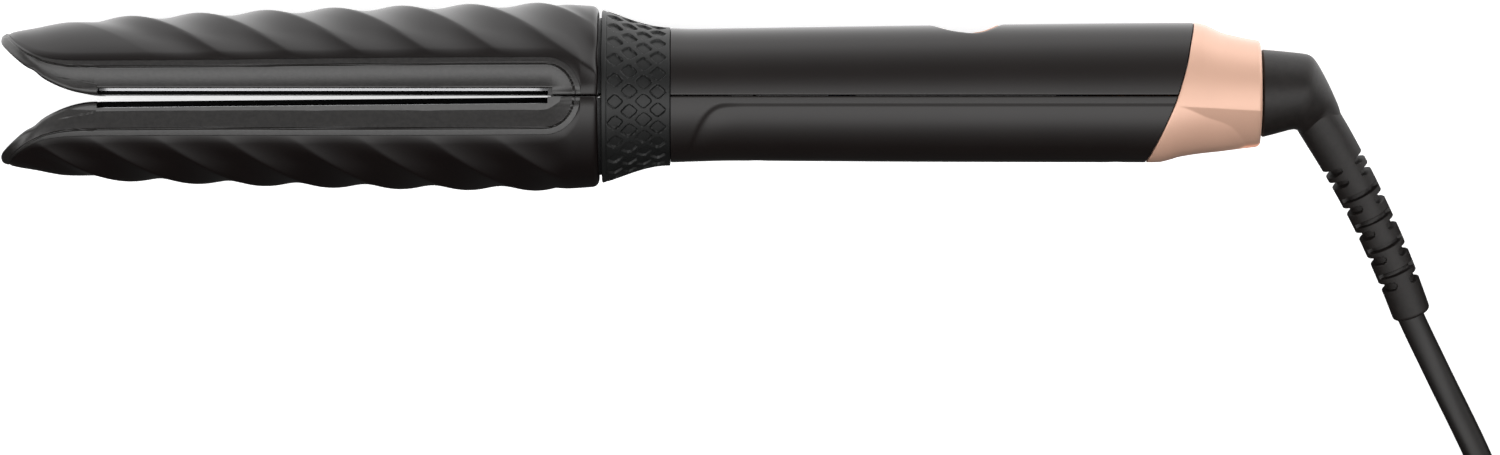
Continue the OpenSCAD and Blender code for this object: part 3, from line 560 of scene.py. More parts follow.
elbowSettings = dict(
    outer=[(314.85, 11.0), (318, 10.72), (321.5, 10.38), (324.6, 10.05), (326.4, 9.75),
           (327.6, 9.1), (328.7, 7.75), (329.9, 5.75), (331.6, 2.5), (333.1, -0.7),
           (334.3, -3.6), (335.05, -6.3)],
    inner=[(314.85, -11.0), (317.5, -10.3), (320, -9.6), (321.8, -9.1), (322.8, -8.95),
           (323.5, -9.05), (324.0, -9.35), (324.45, -9.7), (324.8, -10.1), (325.15, -10.5),
           (325.5, -10.9), (325.9, -11.4)],
    half=[11.0, 10.8, 10.5, 10.2, 9.95, 9.6, 9.1, 8.3, 7.0, 5.5, 4.9, 4.4],
    footEase=0.03, footPart=0.12)


def elbowShape(s, rows=90, around=96):
    k = np.arange(len(s["half"]))
    t = np.linspace(0, k[-1], rows)

    def side(spots):
        return np.stack([curve(k, [spot[i] for spot in spots], t) for i in (0, 1)])[:, :, None]

    outer, inner = side(s["outer"]), side(s["inner"])
    start = (1 - s["footEase"] * np.clip(1 - t / s["footPart"], 0, 1) ** 2)[:, None]
    c, sn = circle(around)
    x, y = (outer + inner) / 2 + (outer - inner) / 2 * start * c
    return skin(onSwivel(gather(x, y, curve(k, s["half"], t)[:, None] * start * sn)))


piece("bend_housing", elbowShape(elbowSettings), finish["rubber"], "cord_swivel", ["elbow"])
print("stage: elbow")

# ---- jaws

barrel = dict(length=149.3, nose=24.5, widest=134.3, tipR=15.2, frontR=19.8, wideR=23.45,
              bulge=0.5, rearFall=0.6, wall=1.8, channelEnd=136.15, endR=8.9, seam=0.15,
              rearRound=1.7, lipRise=8.8)
lipLine = ([24.5, 50, 75, 117, 136.15], [8.8, 8.9, 9.15, 9.5, 9.55])
blockLine = ([14.0, 17.5, 20.5, 24.8, 30], [4.75, 4.15, 3.6, 2.85, 1.9])
pivot = np.array([152.2, -16.0, 0])
ajar = math.radians(0.55)


# Radius of the crest line: a quarter sine at the nose, a bulging cone, then a slight fall
def crestR(x):
    b = barrel
    long = b["widest"] - b["nose"]
    slope = (b["wideR"] - b["frontR"] + 4 * b["bulge"]) / long
    along = np.clip(x / b["nose"], 0, 1)
    nose = (mix(b["tipR"], b["frontR"], np.sin(np.pi / 2 * along))
            + slope * (x - b["nose"]) * along ** 3)
    t = np.clip((x - b["nose"]) / long, 0, 1)
    cone = mix(b["frontR"], b["wideR"], t) + 4 * b["bulge"] * t * (1 - t)
    rear = b["wideR"] - b["rearFall"] * ((x - b["widest"]) / (b["length"] - b["widest"])) ** 2
    return np.where(x < b["nose"], nose, np.where(x < b["widest"], cone, rear))


# Height of the shell's lip over the middle plane. It sweeps up to the top at the nose, and rounds
# the end of the channel at the rear.
def lipY(x):
    b = barrel
    sweep = b["lipRise"] * np.clip(1 - x / b["nose"], 0, 1) ** 3.6
    end = np.sqrt(np.clip(1 - (np.clip(x - b["channelEnd"], 0, None) / b["endR"]) ** 2, 0, 1))
    lip = (curve(*lipLine, x) + sweep) * end
    return np.clip(lip, b["seam"], crestR(x) - 0.02)


# Height of the petal's lower edge: a steep sweep up to the tip, with a slight swell near it
mouth = dict(low=0.25, rise=13, power=1.9, swell=0.45, swellX=9, swellLong=1.5)


def mouthY(x):
    m = mouth
    return (m["low"] + m["rise"] * np.clip(1 - x / barrel["nose"], 0, 1) ** m["power"]
            + m["swell"] * np.exp(-((x - m["swellX"]) / m["swellLong"]) ** 2))


# How far the ridged surface lies below the crest line: a sine's absolute value with its zeros
# rounded gives sharp ridges with hollows between. They wind round the barrel, a little faster the
# further they are from the top, fade at the rear, and end in a plain rising border at the lip.
# turn is the angle from +Z towards +Y, and the angles in the settings are degrees.
ridge = dict(depth=1.10, pitch=17.0, first=14.2, wind=0.325, windGrow=0.0014, crest=0.10,
             power=0.9, front=0.45, lead=0.5, rear=0.35, fadeX=136, fadeTop=0.22, fadeLow=0.03,
             fadeLong=7, border=31, borderOver=5, lip=0.46, lipRise=0.46, lipWide=7)


def ridgeDepth(x, turn):
    r = ridge
    u = 90 - np.degrees(turn)
    wind = r["wind"] * u + r["windGrow"] * u * np.abs(u)
    p = (x - wind - r["first"]) / r["pitch"]
    wave = np.sqrt(np.sin(np.pi * p) ** 2 + r["crest"] ** 2) - r["crest"]
    wave = (wave / (math.sqrt(1 + r["crest"] ** 2) - r["crest"])) ** r["power"]
    fade = r["fadeX"] + r["fadeTop"] * np.clip(u, 0, None) + r["fadeLow"] * np.clip(-u, 0, None)
    rear = smooth((x - fade + 1) / r["fadeLong"])
    front = mix(r["front"], 1, smooth(p / 0.8))
    start = r["lead"] * smooth((x - 2) / 8) * (1 - smooth(p))
    depth = np.where(p > 0, r["depth"] * wave * front * (1 - rear), 0) + start + r["rear"] * rear
    past = np.abs(u) - 90 + np.degrees(np.arcsin(np.clip(lipY(x) / crestR(x), 0, 1)))
    edging = np.clip((past + r["lipWide"]) / r["lipWide"], 0, None)
    return mix(depth, r["lip"] + r["lipRise"] * edging ** 1.4,
               smooth((past + r["border"] - r["borderOver"]) / r["border"]))


# Section of the shell's lip from the outer face to the inner one: (share across, height over it)
lipCorner = np.array([(0, 0.42), (0.03, 0.24), (0.10, 0.12), (0.22, 0.03), (0.42, 0),
                      (1.4, 0), (1.62, 0.06), (1.77, 0.2), (1.8, 0.4)])


# One section after another: over the ridged outside, round the far lip, back along the inside,
# and round the near lip
def shellShape():
    b = barrel
    bend = b["channelEnd"] + b["endR"] * quarterSine(26)
    x = np.concatenate([[1.72, 1.8, 1.95, 2.2, 2.5, 2.9], np.linspace(3.4, b["nose"], 60),
                        np.linspace(b["nose"], b["channelEnd"], 250)[1:], bend[1:],
                        np.linspace(bend[-1], b["length"] - b["rearRound"], 6)[1:],
                        b["length"] + b["rearRound"] * (quarterSine(10)[1:] - 1)])[:, None]
    lip = lipY(x)
    inner = np.maximum(crestR(x) - b["wall"], lip + 0.04)
    over = np.clip(x - b["length"] + b["rearRound"], 0, None)
    rounding = b["rearRound"] - np.sqrt(np.clip(b["rearRound"] ** 2 - over ** 2, 0, None))

    def angleAt(y, radius):
        return np.arcsin(np.clip(y / radius, -1, 0.9999))

    def across(first, count):
        return first + (np.pi - 2 * first) * np.linspace(0, 1, count)

    def outside(angle):
        return crestR(x) - rounding - ridgeDepth(x, angle)

    def edge(order, farSide):
        part = lipCorner[order]
        edgeY = lip + part[:, 1]
        first = angleAt(edgeY, crestR(x))
        radius = mix(outside(np.pi - first if farSide else first), inner, part[:, 0] / b["wall"])
        angle = angleAt(edgeY, radius)
        return (np.pi - angle if farSide else angle), radius

    outAngle = across(angleAt(lip + lipCorner[0, 1], crestR(x)), 190)
    inAngle = np.pi - across(angleAt(lip + lipCorner[-1, 1], inner), 48)[:, 1:]
    farAngle, farR = edge(np.arange(1, 9), True)
    nearAngle, nearR = edge(np.arange(7, 0, -1), False)
    angle = np.concatenate([outAngle, farAngle, inAngle, nearAngle], axis=1)
    inR = np.broadcast_to(inner, inAngle.shape)
    radius = np.concatenate([outside(outAngle), farR, inR, nearR], axis=1)
    return skin(gather(x, radius * np.sin(angle), radius * np.cos(angle)))


# Depth of the jaw's side below the crest line. A flat ledge runs inside the shell's lip, then a
# fine line, then the cheek, which slopes in towards the plate. v runs from the line to the plate,
# and cove says how much the cheek's slope flattens on the way.
cheek = dict(shelf=0.98, shelfFall=0.24, line=0.40, lineHalf=0.20, wide=5.6, slope=0.70, step=0.22,
             stepLong=0.35, ledge=1.65)


def sideDepth(fromLip, ledge, v, cove):
    q = cheek
    w = np.clip(v, 0, 1)
    shelf = q["shelf"] + q["shelfFall"] * np.clip(fromLip / ledge, 0, 1)
    line = q["line"] * np.exp(-(np.abs(fromLip - ledge) / q["lineHalf"]) ** 3)
    fall = q["wide"] * (q["slope"] * w - cove * w ** 2)
    return shelf + line + fall - q["step"] * smooth((fromLip - ledge) / q["stepLong"])


# The petal's block in front of the plates: each section goes up the near side from the mouth to
# the lip, over the top inside the shell, down the far side, and back along the mouth
petal = dict(tipLong=1.05, tipShrink=0.62, hide=1.9, ledge=1.55, blockFrom=14, blockLong=7,
             blockHigh=0.22, edge=0.3, edgeFall=0.5)


def noseShape(cove, lowest):
    b, q = barrel, petal
    x = np.concatenate([[0.0, 0.06, 0.2, 0.42, 0.7, q["tipLong"]],
                        np.linspace(1.45, b["nose"] + 0.36, 90)])[:, None]
    lip, low, crest = lipY(x), mouthY(x), crestR(x)
    base = mix(low + 0.4, lowest, smooth((x - 6) / 18))
    high = lip - low
    groove = np.minimum(q["ledge"], 0.2 * high)
    ease = mix(0.10, 1.0, smooth((x - 0.5) / 11.5))
    y = low + q["edge"] + (high - q["edge"]) * np.linspace(0, 1, 64) ** 0.9
    fromLip = lip - y
    v = (fromLip - groove) / np.maximum(lip - groove - base, 0.3)
    fall = np.clip(1 - (y - low - q["edge"]) / 0.9, 0, 1)
    depth = (sideDepth(fromLip, groove, v, cove) + q["edgeFall"] * roundFall(fall, 0.99)) * ease
    block = (smooth((x - q["blockFrom"]) / q["blockLong"])
             * smooth((curve(*blockLine, x) - y) / 0.3 + 0.5))
    radius = np.maximum(crest - depth + q["blockHigh"] * block * ease, y + 0.02)
    z = np.sqrt(np.clip(radius ** 2 - y ** 2, 0, None))
    topA = np.arctan2(y[:, -1:], z[:, -1:])
    topR = np.minimum(radius[:, -1:], crest - q["hide"] * smooth((x - 1.2) / 3))
    a = topA + (np.pi - 2 * topA) * np.linspace(0, 1, 26)[1:-1]
    rings = np.concatenate([
        gather(x, y, z), gather(x, topR * np.sin(a), topR * np.cos(a)), gather(x, y, -z)[:, ::-1],
        gather(x, low, (z[:, :1] - 0.3) * np.linspace(-1, 1, 15))], axis=1)
    # the tip is blunt and rounded: the first sections shrink towards their middle
    shrink = 1 - q["tipShrink"] * roundFall(1 - np.clip(x / q["tipLong"], 0, 1))
    middle = gather(x, (lip + low) / 2, 0.0)
    return skin(middle + (rings - middle) * shrink[:, :, None])


# Both cheeks of a jaw: skins that follow the ledge, the line and the slope beside the plate, and
# close in round the channel's end
def cheekShape(cove, lowest):
    b, ledge = barrel, cheek["ledge"]
    bend = b["channelEnd"] + (b["endR"] - 0.05) * quarterSine(26)
    x = np.concatenate([np.linspace(b["nose"] - 0.3, b["channelEnd"], 80),
                        [136.6, 137.2, 137.94, 137.97], bend[bend > 138.0]])[:, None]
    base = np.where(x < 137.95, lowest, 0.16)
    y = base + (np.maximum(lipY(x), 0.4) + 0.3 - base) * np.linspace(0, 1, 72)
    tall = curve(*lipLine, x)
    overEnd = np.clip(x - b["channelEnd"], 0, None) / b["endR"]
    fromLip = tall * (1 - np.hypot(overEnd, y / tall))
    depth = sideDepth(np.clip(fromLip, 0, None), ledge, (fromLip - ledge) / cheek["wide"], cove)
    depth = depth + 0.4 * (np.clip((lowest + 0.5 - y) / 1.5, 0, 1) ** 2
                           + roundFall(np.clip(1 - (y - base) / 0.4, 0, 1), 0.99))
    z = np.sqrt((crestR(x) - depth) ** 2 - y ** 2)
    back = gather(x, y, np.minimum(z, z[:, :1]) - 1.3)[:, ::-1]
    points, faces = skin(np.concatenate([gather(x, y, z), back], axis=1))
    return joined((points, faces), (points * [1, 1, -1], [f[::-1] for f in faces]))


# A half ring inside the collar that closes the view between the jaw and the collar
def skirtShape():
    a = np.radians(np.linspace(1.5, 178.5, 90))[:, None]
    x, r = np.transpose([(148.7, 19.1), (150.9, 19.1), (151.1, 19.25), (151.1, 19.45),
                         (150.9, 19.6), (148.7, 19.6)])
    return skin(gather(x, r * np.sin(a), r * np.cos(a)))


# Heating plate: a metal bar, and a dark coating on its working face and lower edges. An outline
# is half a section as (height, half width), and is drawn in at both ends of the bar. line is where
# the coating meets the bar's silver side; the lower jaw's higher line adds a band of painted
# shade.
plateEnds = [(25.02, 0.35), (25.12, 0.12), (25.4, 0), (137.45, 0), (137.75, 0.12), (137.85, 0.35)]


def plateShape(outline):
    half = np.array(outline, float)
    y, z = np.concatenate([half, half[::-1] * [1, -1]]).T
    x, inset = np.transpose(plateEnds)[:, :, None]
    return skin(gather(x, np.maximum(y, outline[0][0] + inset),
                       np.sign(z) * np.maximum(np.abs(z) - inset, 0)))


def coatOutline(line):
    return [(0.25, 0.5), (0.25, 6.0), (0.25, 11.7), (0.28, 11.95), (0.36, 12.1),
            (line - 0.06, 13.1), (line, 13.2), (line + 0.02, 13.0)]


def barOutline(line):
    return [(line, 0.5), (line, 13.05), (line + 0.06, 13.2), (2.3, 13.2), (2.35, 14.2),
            (3.2, 14.2), (3.25, 14.1)]


def upperJaw(shape):
    return shape


# The lower jaw is the upper one turned half round the axis, and stands slightly ajar
def lowerJaw(shape):
    points, faces = shape
    x, y, z = (points * [1, -1, -1] - pivot).T
    c, s = math.cos(ajar), math.sin(ajar)
    return gather(c * x - s * y, s * x + c * y, z) + pivot, faces


shell, skirt = shellShape(), skirtShape()
# On the lower jaw the plate's line stands higher than on the upper, so the dark coating also
# covers a band of the silver side: painted shade where that edge lies in shade.
jawSettings = {"upper": dict(place=upperJaw, cove=0.43, lowest=1.85, line=1.15),
               "lower": dict(place=lowerJaw, cove=0.20, lowest=2.35, line=1.65)}
for side, s in jawSettings.items():
    body, plateBody, place = side + "_jaw", side + "_hot_plate", s["place"]
    slope = (s["cove"], s["lowest"])
    piece(side + "_shell", place(shell), finish["barrel"], body, [side + "_barrel"],
          60)
    piece(side + "_petal", place(noseShape(*slope)), finish["jaw"], body, [side + "_nose"],
          24)
    piece(side + "_cheeks", place(cheekShape(*slope)), finish["jaw"], body,
          crease=24)
    piece(side + "_skirt", place(skirt), finish["mount"], body)
    piece(side + "_plate_bar", place(plateShape(barOutline(s["line"]))), finish["plate"],
          plateBody, [side + "_plate"])
    piece(side + "_plate_face", place(plateShape(coatOutline(s["line"]))), finish["coating"],
          plateBody)
print("stage: jaws")

# ---- twist collar: a tapering grip with staggered rounded diamonds pressed into it

# columns: each column's X and its turn in degrees against the row of count diamonds
collarSettings = dict(
    start=150.05, length=17.05, frontR=21.6, rearR=17.3, wall=1.2, count=24, halfX=2.2,
    halfArc=2.0, columns=[(153.45, -4.4), (157.0, 3.1), (160.6, -4.4), (164.1, 3.1)], depth=0.6,
    cornerEase=0.03, wallEase=0.13, lineAt=1.25, lineHalf=0.22, lineDepth=0.16, rows=84,
    around=600)


def collarR(x):
    s = collarSettings
    t = np.clip((x - s["start"]) / s["length"], 0, 1)
    return mix(s["frontR"], s["rearR"], np.sin(np.pi / 2 * t) ** 1.25)


# Rings along the grip. A diamond is where |along| + |round| stays under one half size each, with
# both lengths eased at zero so that its corners are round.
def collarShape(s):
    start, end = s["start"], s["start"] + s["length"]
    x = np.linspace(start + 0.25, end - 0.25, s["rows"])[:, None]
    a = np.linspace(0, 2 * np.pi, s["around"], endpoint=False)
    pressed = np.zeros((s["rows"], s["around"]))
    step = 2 * np.pi / s["count"]
    for at, turn in s["columns"]:
        # distance round the collar to the nearest diamond of this column
        off = (a - math.radians(turn) + step / 2) % step - step / 2
        u = np.sqrt(((x - at) / s["halfX"]) ** 2 + s["cornerEase"])
        v = np.sqrt((off * collarR(at) / s["halfArc"]) ** 2 + s["cornerEase"])
        pressed = np.maximum(pressed, smooth((1.12 - u - v) / s["wallEase"]))
    line = smooth(1 - np.abs(x - start - s["lineAt"]) / s["lineHalf"])
    radius = collarR(x) - s["depth"] * pressed - s["lineDepth"] * line

    def rings(at, r):
        return gather(at, r * np.sin(a), r * np.cos(a))

    # how far each ring of an end lies from it, and below the grip's surface
    lips = np.array([[(1.0, s["wall"]), (0, s["wall"]), (0, 0.35), (0.08, 0.1)],
                     [(0.08, 0.1), (0, 0.35), (0, s["wall"]), (1.0, s["wall"] - 0.05)]])
    (frontX, frontDown), (backX, backDown) = np.moveaxis(lips, 2, 1)[..., None]
    return skin(np.concatenate([
        rings(start + frontX, collarR(x[0]) - frontDown), rings(x, radius),
        rings(end - backX, collarR(x[-1]) - backDown)]), closedAlong=True)


piece("collar", collarShape(collarSettings), finish["collar"], "twist_ring", ["collar_grip"],
      40)
print("stage: collar")

# ---- handle shells: sections that are rounder than an ellipse, each shell a half turn of them

# button is the scoop's middle, and scoop the X range where the top is held under scoopLine
handle = dict(start=167.2, halfWide=16.4, wall=2.0, squareness=2.25, button=241.4,
              scoop=(228, 254), seam=0.11, seamRound=0.28, endRound=0.16, long=130)
scoopLine = ([228, 232.6, 235.25, 237.6, 240, 241.65, 243.3, 245, 247.2, 249.0, 251, 254],
             [19.5, 17.72, 16.85, 16.27, 15.92, 15.74, 15.70, 15.95, 16.72, 17.55, 18.6, 19.9])


def topAt(x):
    return curve([150, 167.4, 172, 184, 199.5, 232.6, 265, 297.8, 320],
                 [17.1, 17.05, 16.9, 17.05, 17.3, 17.77, 18.15, 18.4, 18.4], x)


def lowAt(x):
    return curve([150, 167.4, 173, 183, 199.5, 232.6, 265, 297.8, 320],
                 [16.5, 16.48, 16.3, 16.08, 16.17, 16.375, 16.45, 16.5, 16.5], x)


# The slanted line where the handle's shells meet the end cap
def capFrontX(y):
    return curve([-18, -16.55, -11.65, -6.15, -1.4, 2.7, 7.85, 12.85, 18.2, 20],
                 [284.9, 285.85, 288.45, 291.0, 293.0, 294.3, 295.75, 296.7, 297.8, 298.1], y)


# A superellipse of the given half sizes, with high for its upper half and low for its lower half
def superellipse(a, high, low, wide):
    sn, power = np.sin(a), 2 / handle["squareness"]
    return np.where(sn > 0, high, low) * squared(sn, power), wide * squared(np.cos(a), power)


def section(x, a, inset=0.0):
    return superellipse(a, topAt(x) - inset, lowAt(x) - inset, handle["halfWide"] - inset)


def inScoop(x):
    return (x > handle["scoop"][0]) & (x < handle["scoop"][1])


# The finger recess of the lower shell: below a soft line near the seam, which sweeps down at the
# front, the side is set in, and comes back out further down
recess = dict(line=-2.05, sweep=11.25, sweepX=182, sweepLong=10, power=2.82, frontX=176,
              depth=(0.30, 0.62), edge=(1.3, 2.0), long=9.0)


def recessDepth(x, y):
    r = recess
    sweep = (np.clip(r["sweepX"] - x, 0, None) / r["sweepLong"]) ** r["power"]
    below = r["line"] - r["sweep"] * sweep - y
    front = 1 - smooth((x - r["frontX"]) / 10)
    inset = mix(*r["depth"], front) * smooth(below / mix(*r["edge"], front) + 0.3)
    return inset * (1 - smooth(below / r["long"]))


def handleShape(upper):
    h = handle
    along = np.concatenate([[0, 0.08, 0.3], np.linspace(0.8, 22, 36), np.linspace(22, 64, 24)[1:],
                            np.linspace(64, 86, 64)[1:], np.linspace(86, 125, 24)[1:]]) / h["long"]
    share = np.concatenate([along, [0.975, 0.988, 0.996, 0.9994, 1.0]])[:, None]
    fall = h["endRound"] * roundFall(1 - np.clip(share * h["long"] / h["endRound"], 0, 1))
    edge = np.concatenate([np.linspace(0, 0.045, 6), np.linspace(0.045, 0.26, 44)[1:]])
    a = np.concatenate([edge, np.linspace(0.26, np.pi - 0.26, 96)[1:-1], np.pi - edge[::-1]])
    if not upper:
        a = a + np.pi
    x = h["start"] + share * h["long"] + np.zeros(len(a))
    # each line along the shell is stretched to end at the cap's slanted front
    for step in range(3):
        y, z = section(x, a)
        x = h["start"] + share * (capFrontX(y) - 0.25 - h["start"])
    y, z = section(x, a)
    shrink = 1 - fall / np.hypot(y, z)
    y, z = y * shrink, z * shrink
    if upper:
        # thumb scoop: the surface is held softly under a line that dips along X
        over = y - curve(*scoopLine, x)
        y = np.where(inScoop(x), y - 0.5 * (over + np.sqrt(over ** 2 + 0.02)), y)
    else:
        z = z - np.sign(z) * recessDepth(x, y) * np.minimum(np.abs(z) / 6, 1)
    away = h["seam"] if upper else -h["seam"]
    y = np.where(np.abs(y) < h["seam"], away, y)
    near = np.clip(1 - (np.abs(y) - h["seam"]) / h["seamRound"], 0, 1)
    z = z - np.sign(z) * h["seamRound"] * roundFall(near)
    xi = x[:, ::4]
    yi, zi = section(xi, a[::4], h["wall"])
    yi = np.where(np.abs(yi) < h["seam"], away, yi)
    if upper:
        yi = np.where(inScoop(xi), np.minimum(yi, curve(*scoopLine, xi) - h["wall"]), yi)
    return skin(np.concatenate([gather(x, y, z), gather(xi, yi, zi)[:, ::-1]], axis=1))


# An upright rod for cutting a hole
def rodY(x, y0, y1, radius, count=48):
    return lathe([(0, radius), (y1 - y0, radius)], (x, y0, 0), (0, 1, 0), count)


upperHandle = piece("handle_top", handleShape(True), finish["handle"], "handle",
                    ["upper_handle"])
cut(upperHandle, rodY(handle["button"], 8, 30, 7.86, 96))
lowerHandle = piece("handle_base", handleShape(False), finish["handle"], "handle",
                    ["lower_handle"])
cut(lowerHandle, *[rodY(x, -30, -10, 2.3) for x in (188.9, 278.4)])
print("stage: handle")

# ---- controls: a sloped trim ring that rises towards the rear, and three domed keys

bezelSettings = dict(outer=7.78, inner=5.82, floor=15.36, foot=13.4, lower=0.06, rise=0.30,
                     riseFrom=241.5, riseTo=249.9, around=128)


# Rings from the outer foot over the top and down the sloped inside. The top follows the handle's
# surface or the scoop's line, whichever is lower.
def bezelShape(s):
    c, sn = circle(s["around"])

    def ring(radius, y):
        return gather(handle["button"] + radius * c, y, radius * sn)

    outer, inner = s["outer"], s["inner"]
    x = handle["button"] + outer * c
    power = handle["squareness"]
    surfaceY = topAt(x) * (1 - (np.abs(outer * sn) / handle["halfWide"]) ** power) ** (1 / power)
    top = np.minimum(surfaceY, curve(*scoopLine, x)) - s["lower"]
    top = top + s["rise"] * smooth((x - s["riseFrom"]) / 2.5) * smooth((s["riseTo"] - x) / 1.2)
    rings = [ring(outer, s["foot"]), ring(outer, top - 0.15), ring(outer - 0.06, top - 0.04),
             ring(outer - 0.18, top), ring(outer - 0.42, top)]
    rings += [ring(mix(outer - 0.5, inner, t), mix(top - 0.03, s["floor"], t ** 0.8))
              for t in np.linspace(0.08, 1, 9)]
    rings += [ring(inner, s["floor"] - 0.3), ring(inner, s["foot"])]
    return skin(np.array(rings), closedAlong=True)


# A key's profile from its foot: a collar, the stem, a rounded edge and a slightly hollow top
def keyProfile(r, high):
    edge = high - 0.35
    rounded = [(edge + 0.35 * math.sin(t), r - 0.35 + 0.35 * math.cos(t))
               for t in np.linspace(0.25, math.pi / 2, 6)]
    return [(0, r + 0.3), (0.8, r + 0.3), (0.8, r), (edge, r), *rounded,
            (high - 0.10, r * 0.62), (high - 0.16, 0.02)]


piece("trim_ring", bezelShape(bezelSettings), finish["rose"], "handle", ["control_bezel"])
keyFoot = 13.3
keys = {"power": dict(spot=(-2.6, 0.0), radius=2.3, top=15.72, finish="rose", slot="rose_gold"),
        "minus": dict(spot=(2.2, -2.7), radius=1.65, top=15.62, finish="key", slot="key"),
        "plus": dict(spot=(2.2, 2.7), radius=1.65, top=15.62, finish="key", slot="key")}
for name, k in keys.items():
    foot = (handle["button"] + k["spot"][0], keyFoot, k["spot"][1])
    piece(name + "_dome", lathe(keyProfile(k["radius"], k["top"] - keyFoot), foot, (0, 1, 0), 48),
          finish[k["finish"]], name + "_key", [name + "_button"])
print("stage: controls")

# ---- end cap: slanted at the front, drawn in towards the swivel, with two creases on each side

capSettings = dict(
    topX=[280, 285.8, 297.8, 299.6, 301.2, 302.6, 305, 308.8, 311.5, 314.55],
    topY=[18.4, 18.4, 18.4, 18.2, 17.65, 17.0, 15.9, 14.95, 14.4, 13.9],
    lowX=[280, 285.8, 289.0, 291.5, 294.2, 299.5, 304.5, 310.3, 314.55],
    lowY=[16.5, 16.5, 16.45, 15.95, 15.15, 14.3, 13.75, 13.0, 12.5],
    wideX=[280, 290, 299, 304, 309, 314.55], wideZ=[16.4, 16.4, 16.1, 15.2, 14.3, 13.3],
    secondX=[290, 293.1, 295.65, 300.1, 306.2, 309.05, 310.95, 312.2, 314.6],
    secondY=[-2.5, -2.68, -3.3, -5.2, -7.4, -9.7, -12.2, -15.0, -22.0], slope=0.46,
    firstX=293.1, firstY=-2.65, firstFall=1.15 / 21.05, rearRound=1.25, around=480, rows=80)


# Sections from the slanted front to the swivel's seat. On each side the wall is set in below a
# first crease, at a slope, down to a second crease, and runs on level from there. The front has a
# small rim and the rear a rounded edge, and a hole for the swivel is closed along the inside.
def capShape(s):
    c, sn = circle(s["around"])
    a = np.linspace(0, 2 * np.pi, s["around"], endpoint=False)

    def outline(x, inset):
        y, z = superellipse(a, curve(s["topX"], s["topY"], x) - inset,
                            curve(s["lowX"], s["lowY"], x) - inset,
                            curve(s["wideX"], s["wideZ"], x) - inset)
        first = s["firstY"] - (x - s["firstX"]) * s["firstFall"]
        second = np.minimum(curve(s["secondX"], s["secondY"], x), first)
        fall = s["slope"] * np.clip(first - y, 0, first - second)
        return y, z - np.sign(z) * fall * smooth(np.abs(z) / 5)

    turn = np.linspace(0.25, np.pi / 2, 8)
    share = np.concatenate([[0.0, 0.001, 0.006, 0.018, 0.035], np.linspace(0.06, 0.955, s["rows"]),
                            1 - 0.045 * (1 - np.sin(turn))])[:, None]
    inset = np.concatenate([[0.45, 0.25, 0.08, 0.01, 0.0], np.zeros(s["rows"]),
                            s["rearRound"] * (1 - np.cos(turn))])[:, None]
    x = np.full((len(share), s["around"]), 290.0)
    for step in range(4):
        y, z = outline(x, inset)
        x = capFrontX(y) + share * (rearX - 0.02 - capFrontX(y))
    y, z = outline(x, inset)
    body = gather(x, y, z)

    def disc(radius, at):
        return gather(at, swivelY + radius * sn, radius * c)

    hole = [disc(11.2, rearX - 0.03), disc(7.6, rearX - 0.05), disc(7.5, rearX - 0.3),
            disc(7.5, 304.0)]
    start, rim = (gather(x[0] + back, *outline(x[0] + back, deep))
                  for back, deep in ((0.4, 2.15), (0, 0.9)))
    seat = mix(body[-1], hole[0], 0.5)
    return skin(np.array([start, rim, *body, seat, *hole]), closedAlong=True)


piece("rear_cap", capShape(capSettings), finish["rose"], "handle", ["end_cap"], 20)
print("stage: end cap")

# ---- CAD nodes that keep their shape take a finish of their own

kept = {
    "jaw": ["upper_carrier", "lower_carrier"],
    "steel": ["upper_screws", "lower_screws", "upper_heater_clip", "lower_heater_clip", "jaw_pins",
              "closing_springs", "handle_screws"],
    "ceramic": ["upper_heater", "lower_heater"],
    "silicone": ["upper_cushions", "lower_cushions"],
    "panel": ["upper_thermistor", "lower_thermistor", "control_panel", "button_switches",
              "swivel_socket", "swivel_core"],
    "wire": ["upper_leads", "lower_leads", "handle_wires"],
    "mains": ["mains_wires"],
    "mount": ["jaw_mount", "cam_ring"],
    "sleeve": ["opening_sleeve"],
    "board": ["circuit_board"],
    "parts": ["board_parts"],
    "contact": ["swivel_contacts", "slip_rings"],
}
for name, nodes in kept.items():
    for node in nodes:
        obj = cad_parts[node]
        for spot in obj.material_slots:
            spot.material = finish[name]
        if not obj.material_slots:
            obj.data.materials.append(finish[name])
print("stage: kept nodes")

# ---- studio: a long soft box over the object, a bright wall and floor on its upper side, and
# a dark surround on its lower side. The sky gives light by its angle from overhead towards +Y.

studio = dict(
    sky=[(-180, 0.05), (-110, 0.05), (-90, 0.08), (-75, 0.15), (-62, 0.30), (-50, 0.52),
         (-42, 0.80), (-34, 1.25), (-26, 1.85), (-20, 2.15), (-2, 2.15), (4, 1.5), (9, 0.75),
         (14, 0.36), (22, 0.20), (34, 0.20), (45, 0.38), (60, 0.82), (75, 1.45), (90, 1.9),
         (180, 1.8)],
    brightest=3.0, ends=0.5, floorLow=0.03, floorHigh=1.6, paper=0.65, sheet=0.93, reach=8.0)


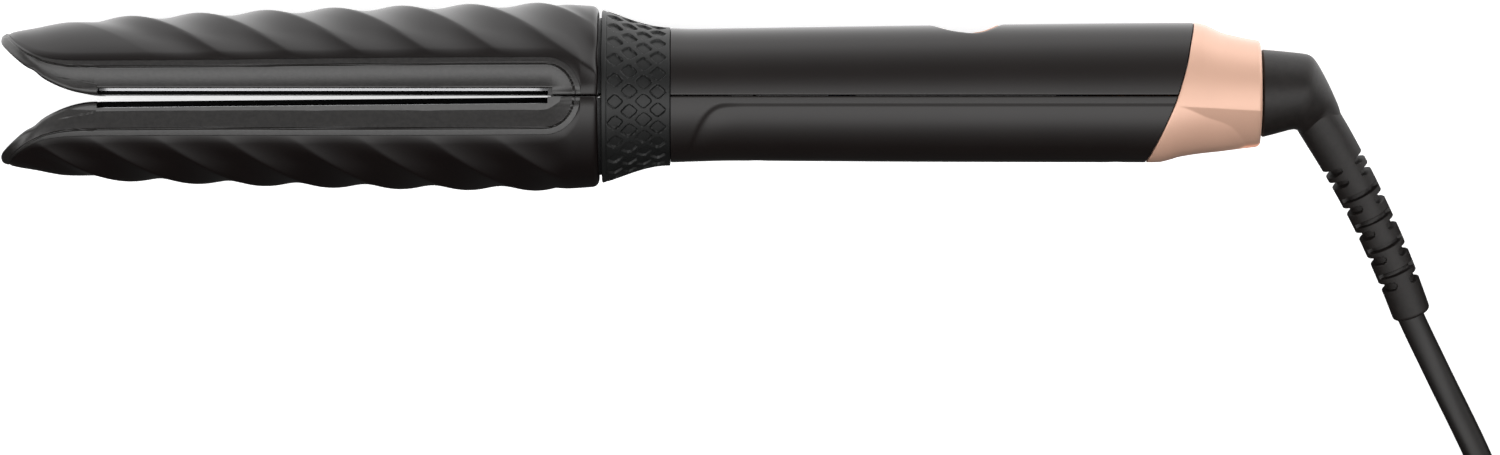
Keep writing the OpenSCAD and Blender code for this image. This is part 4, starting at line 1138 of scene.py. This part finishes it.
# A ramp of grey through (angle, radiance) stops, read at an angle in radians
def radianceRamp(graph, angle, stops, brightest):
    colour = graph.node("ValToRGB", 0, {0: angle / (2 * math.pi) + 0.5})
    elements = colour.socket.node.color_ramp.elements
    elements.remove(elements[1])
    for i, (degrees, value) in enumerate(stops):
        at = degrees / 360 + 0.5
        element = elements[0] if i == 0 else elements.new(at)
        element.position = at
        element.color = (value / brightest,) * 3 + (1,)
    return colour * brightest


# 1 for the rays that meet plain white paper: straight from the camera or through something clear
def paperRays(graph):
    return graph.node("Math", 0, {0: graph.node("LightPath", "Is Camera Ray"),
                                  1: graph.node("LightPath", "Is Transmission Ray")},
                      operation="MAXIMUM")


world = bpy.data.worlds.new("surround")
bpy.context.scene.world = world
sky = Graph("surround", world)
way = sky.node("TexCoord", "Generated")
along, sideways, upward = (sky.node("SeparateXYZ", i, {0: way}) for i in range(3))
around = radianceRamp(sky, sky.node("Math", 0, {0: sideways, 1: upward}, operation="ARCTAN2"),
                      studio["sky"], studio["brightest"])
level = (1 - along * along).ramp(0.0, 0.3)
around = around * level + (1 - level) * studio["ends"]
soft = sky.node("Background", 0, {"Color": (1, 1, 1, 1), "Strength": around})
white = sky.node("Background", 0, {"Color": (1, 1, 1, 1), "Strength": 1.0})
sky.finish(sky.node("MixShader", 0, {0: paperRays(sky), 1: soft, 2: white}))

ground = Graph("floor")
side = ground.node("SeparateXYZ", 1, {0: ground.node("TexCoord", "Object")}).ramp(-0.03, 0.03)
glow = ground.node("Emission", 0, {
    "Strength": side * (studio["floorHigh"] - studio["floorLow"]) + studio["floorLow"]})
sheet = ground.node("BsdfDiffuse", 0, {"Color": (studio["sheet"],) * 3 + (1,)})
lit = ground.node("Emission", 0, {"Strength": studio["paper"]})
paper = ground.node("AddShader", 0, {0: sheet, 1: lit})
floorMesh = bpy.data.meshes.new("floor")
reach = studio["reach"]
floorMesh.from_pydata([(-reach, -reach, 0), (reach, -reach, 0), (reach, reach, 0),
                       (-reach, reach, 0)], [], [(0, 1, 2, 3)])
floorMesh.materials.append(
    ground.finish(ground.node("MixShader", 0, {0: paperRays(ground), 1: glow, 2: paper})))
floor = bpy.data.objects.new("floor", floorMesh)
bpy.context.scene.collection.objects.link(floor)
bpy.context.scene.view_settings.view_transform = "Standard"
bpy.context.scene.view_settings.look = "None"
print("stage: studio")
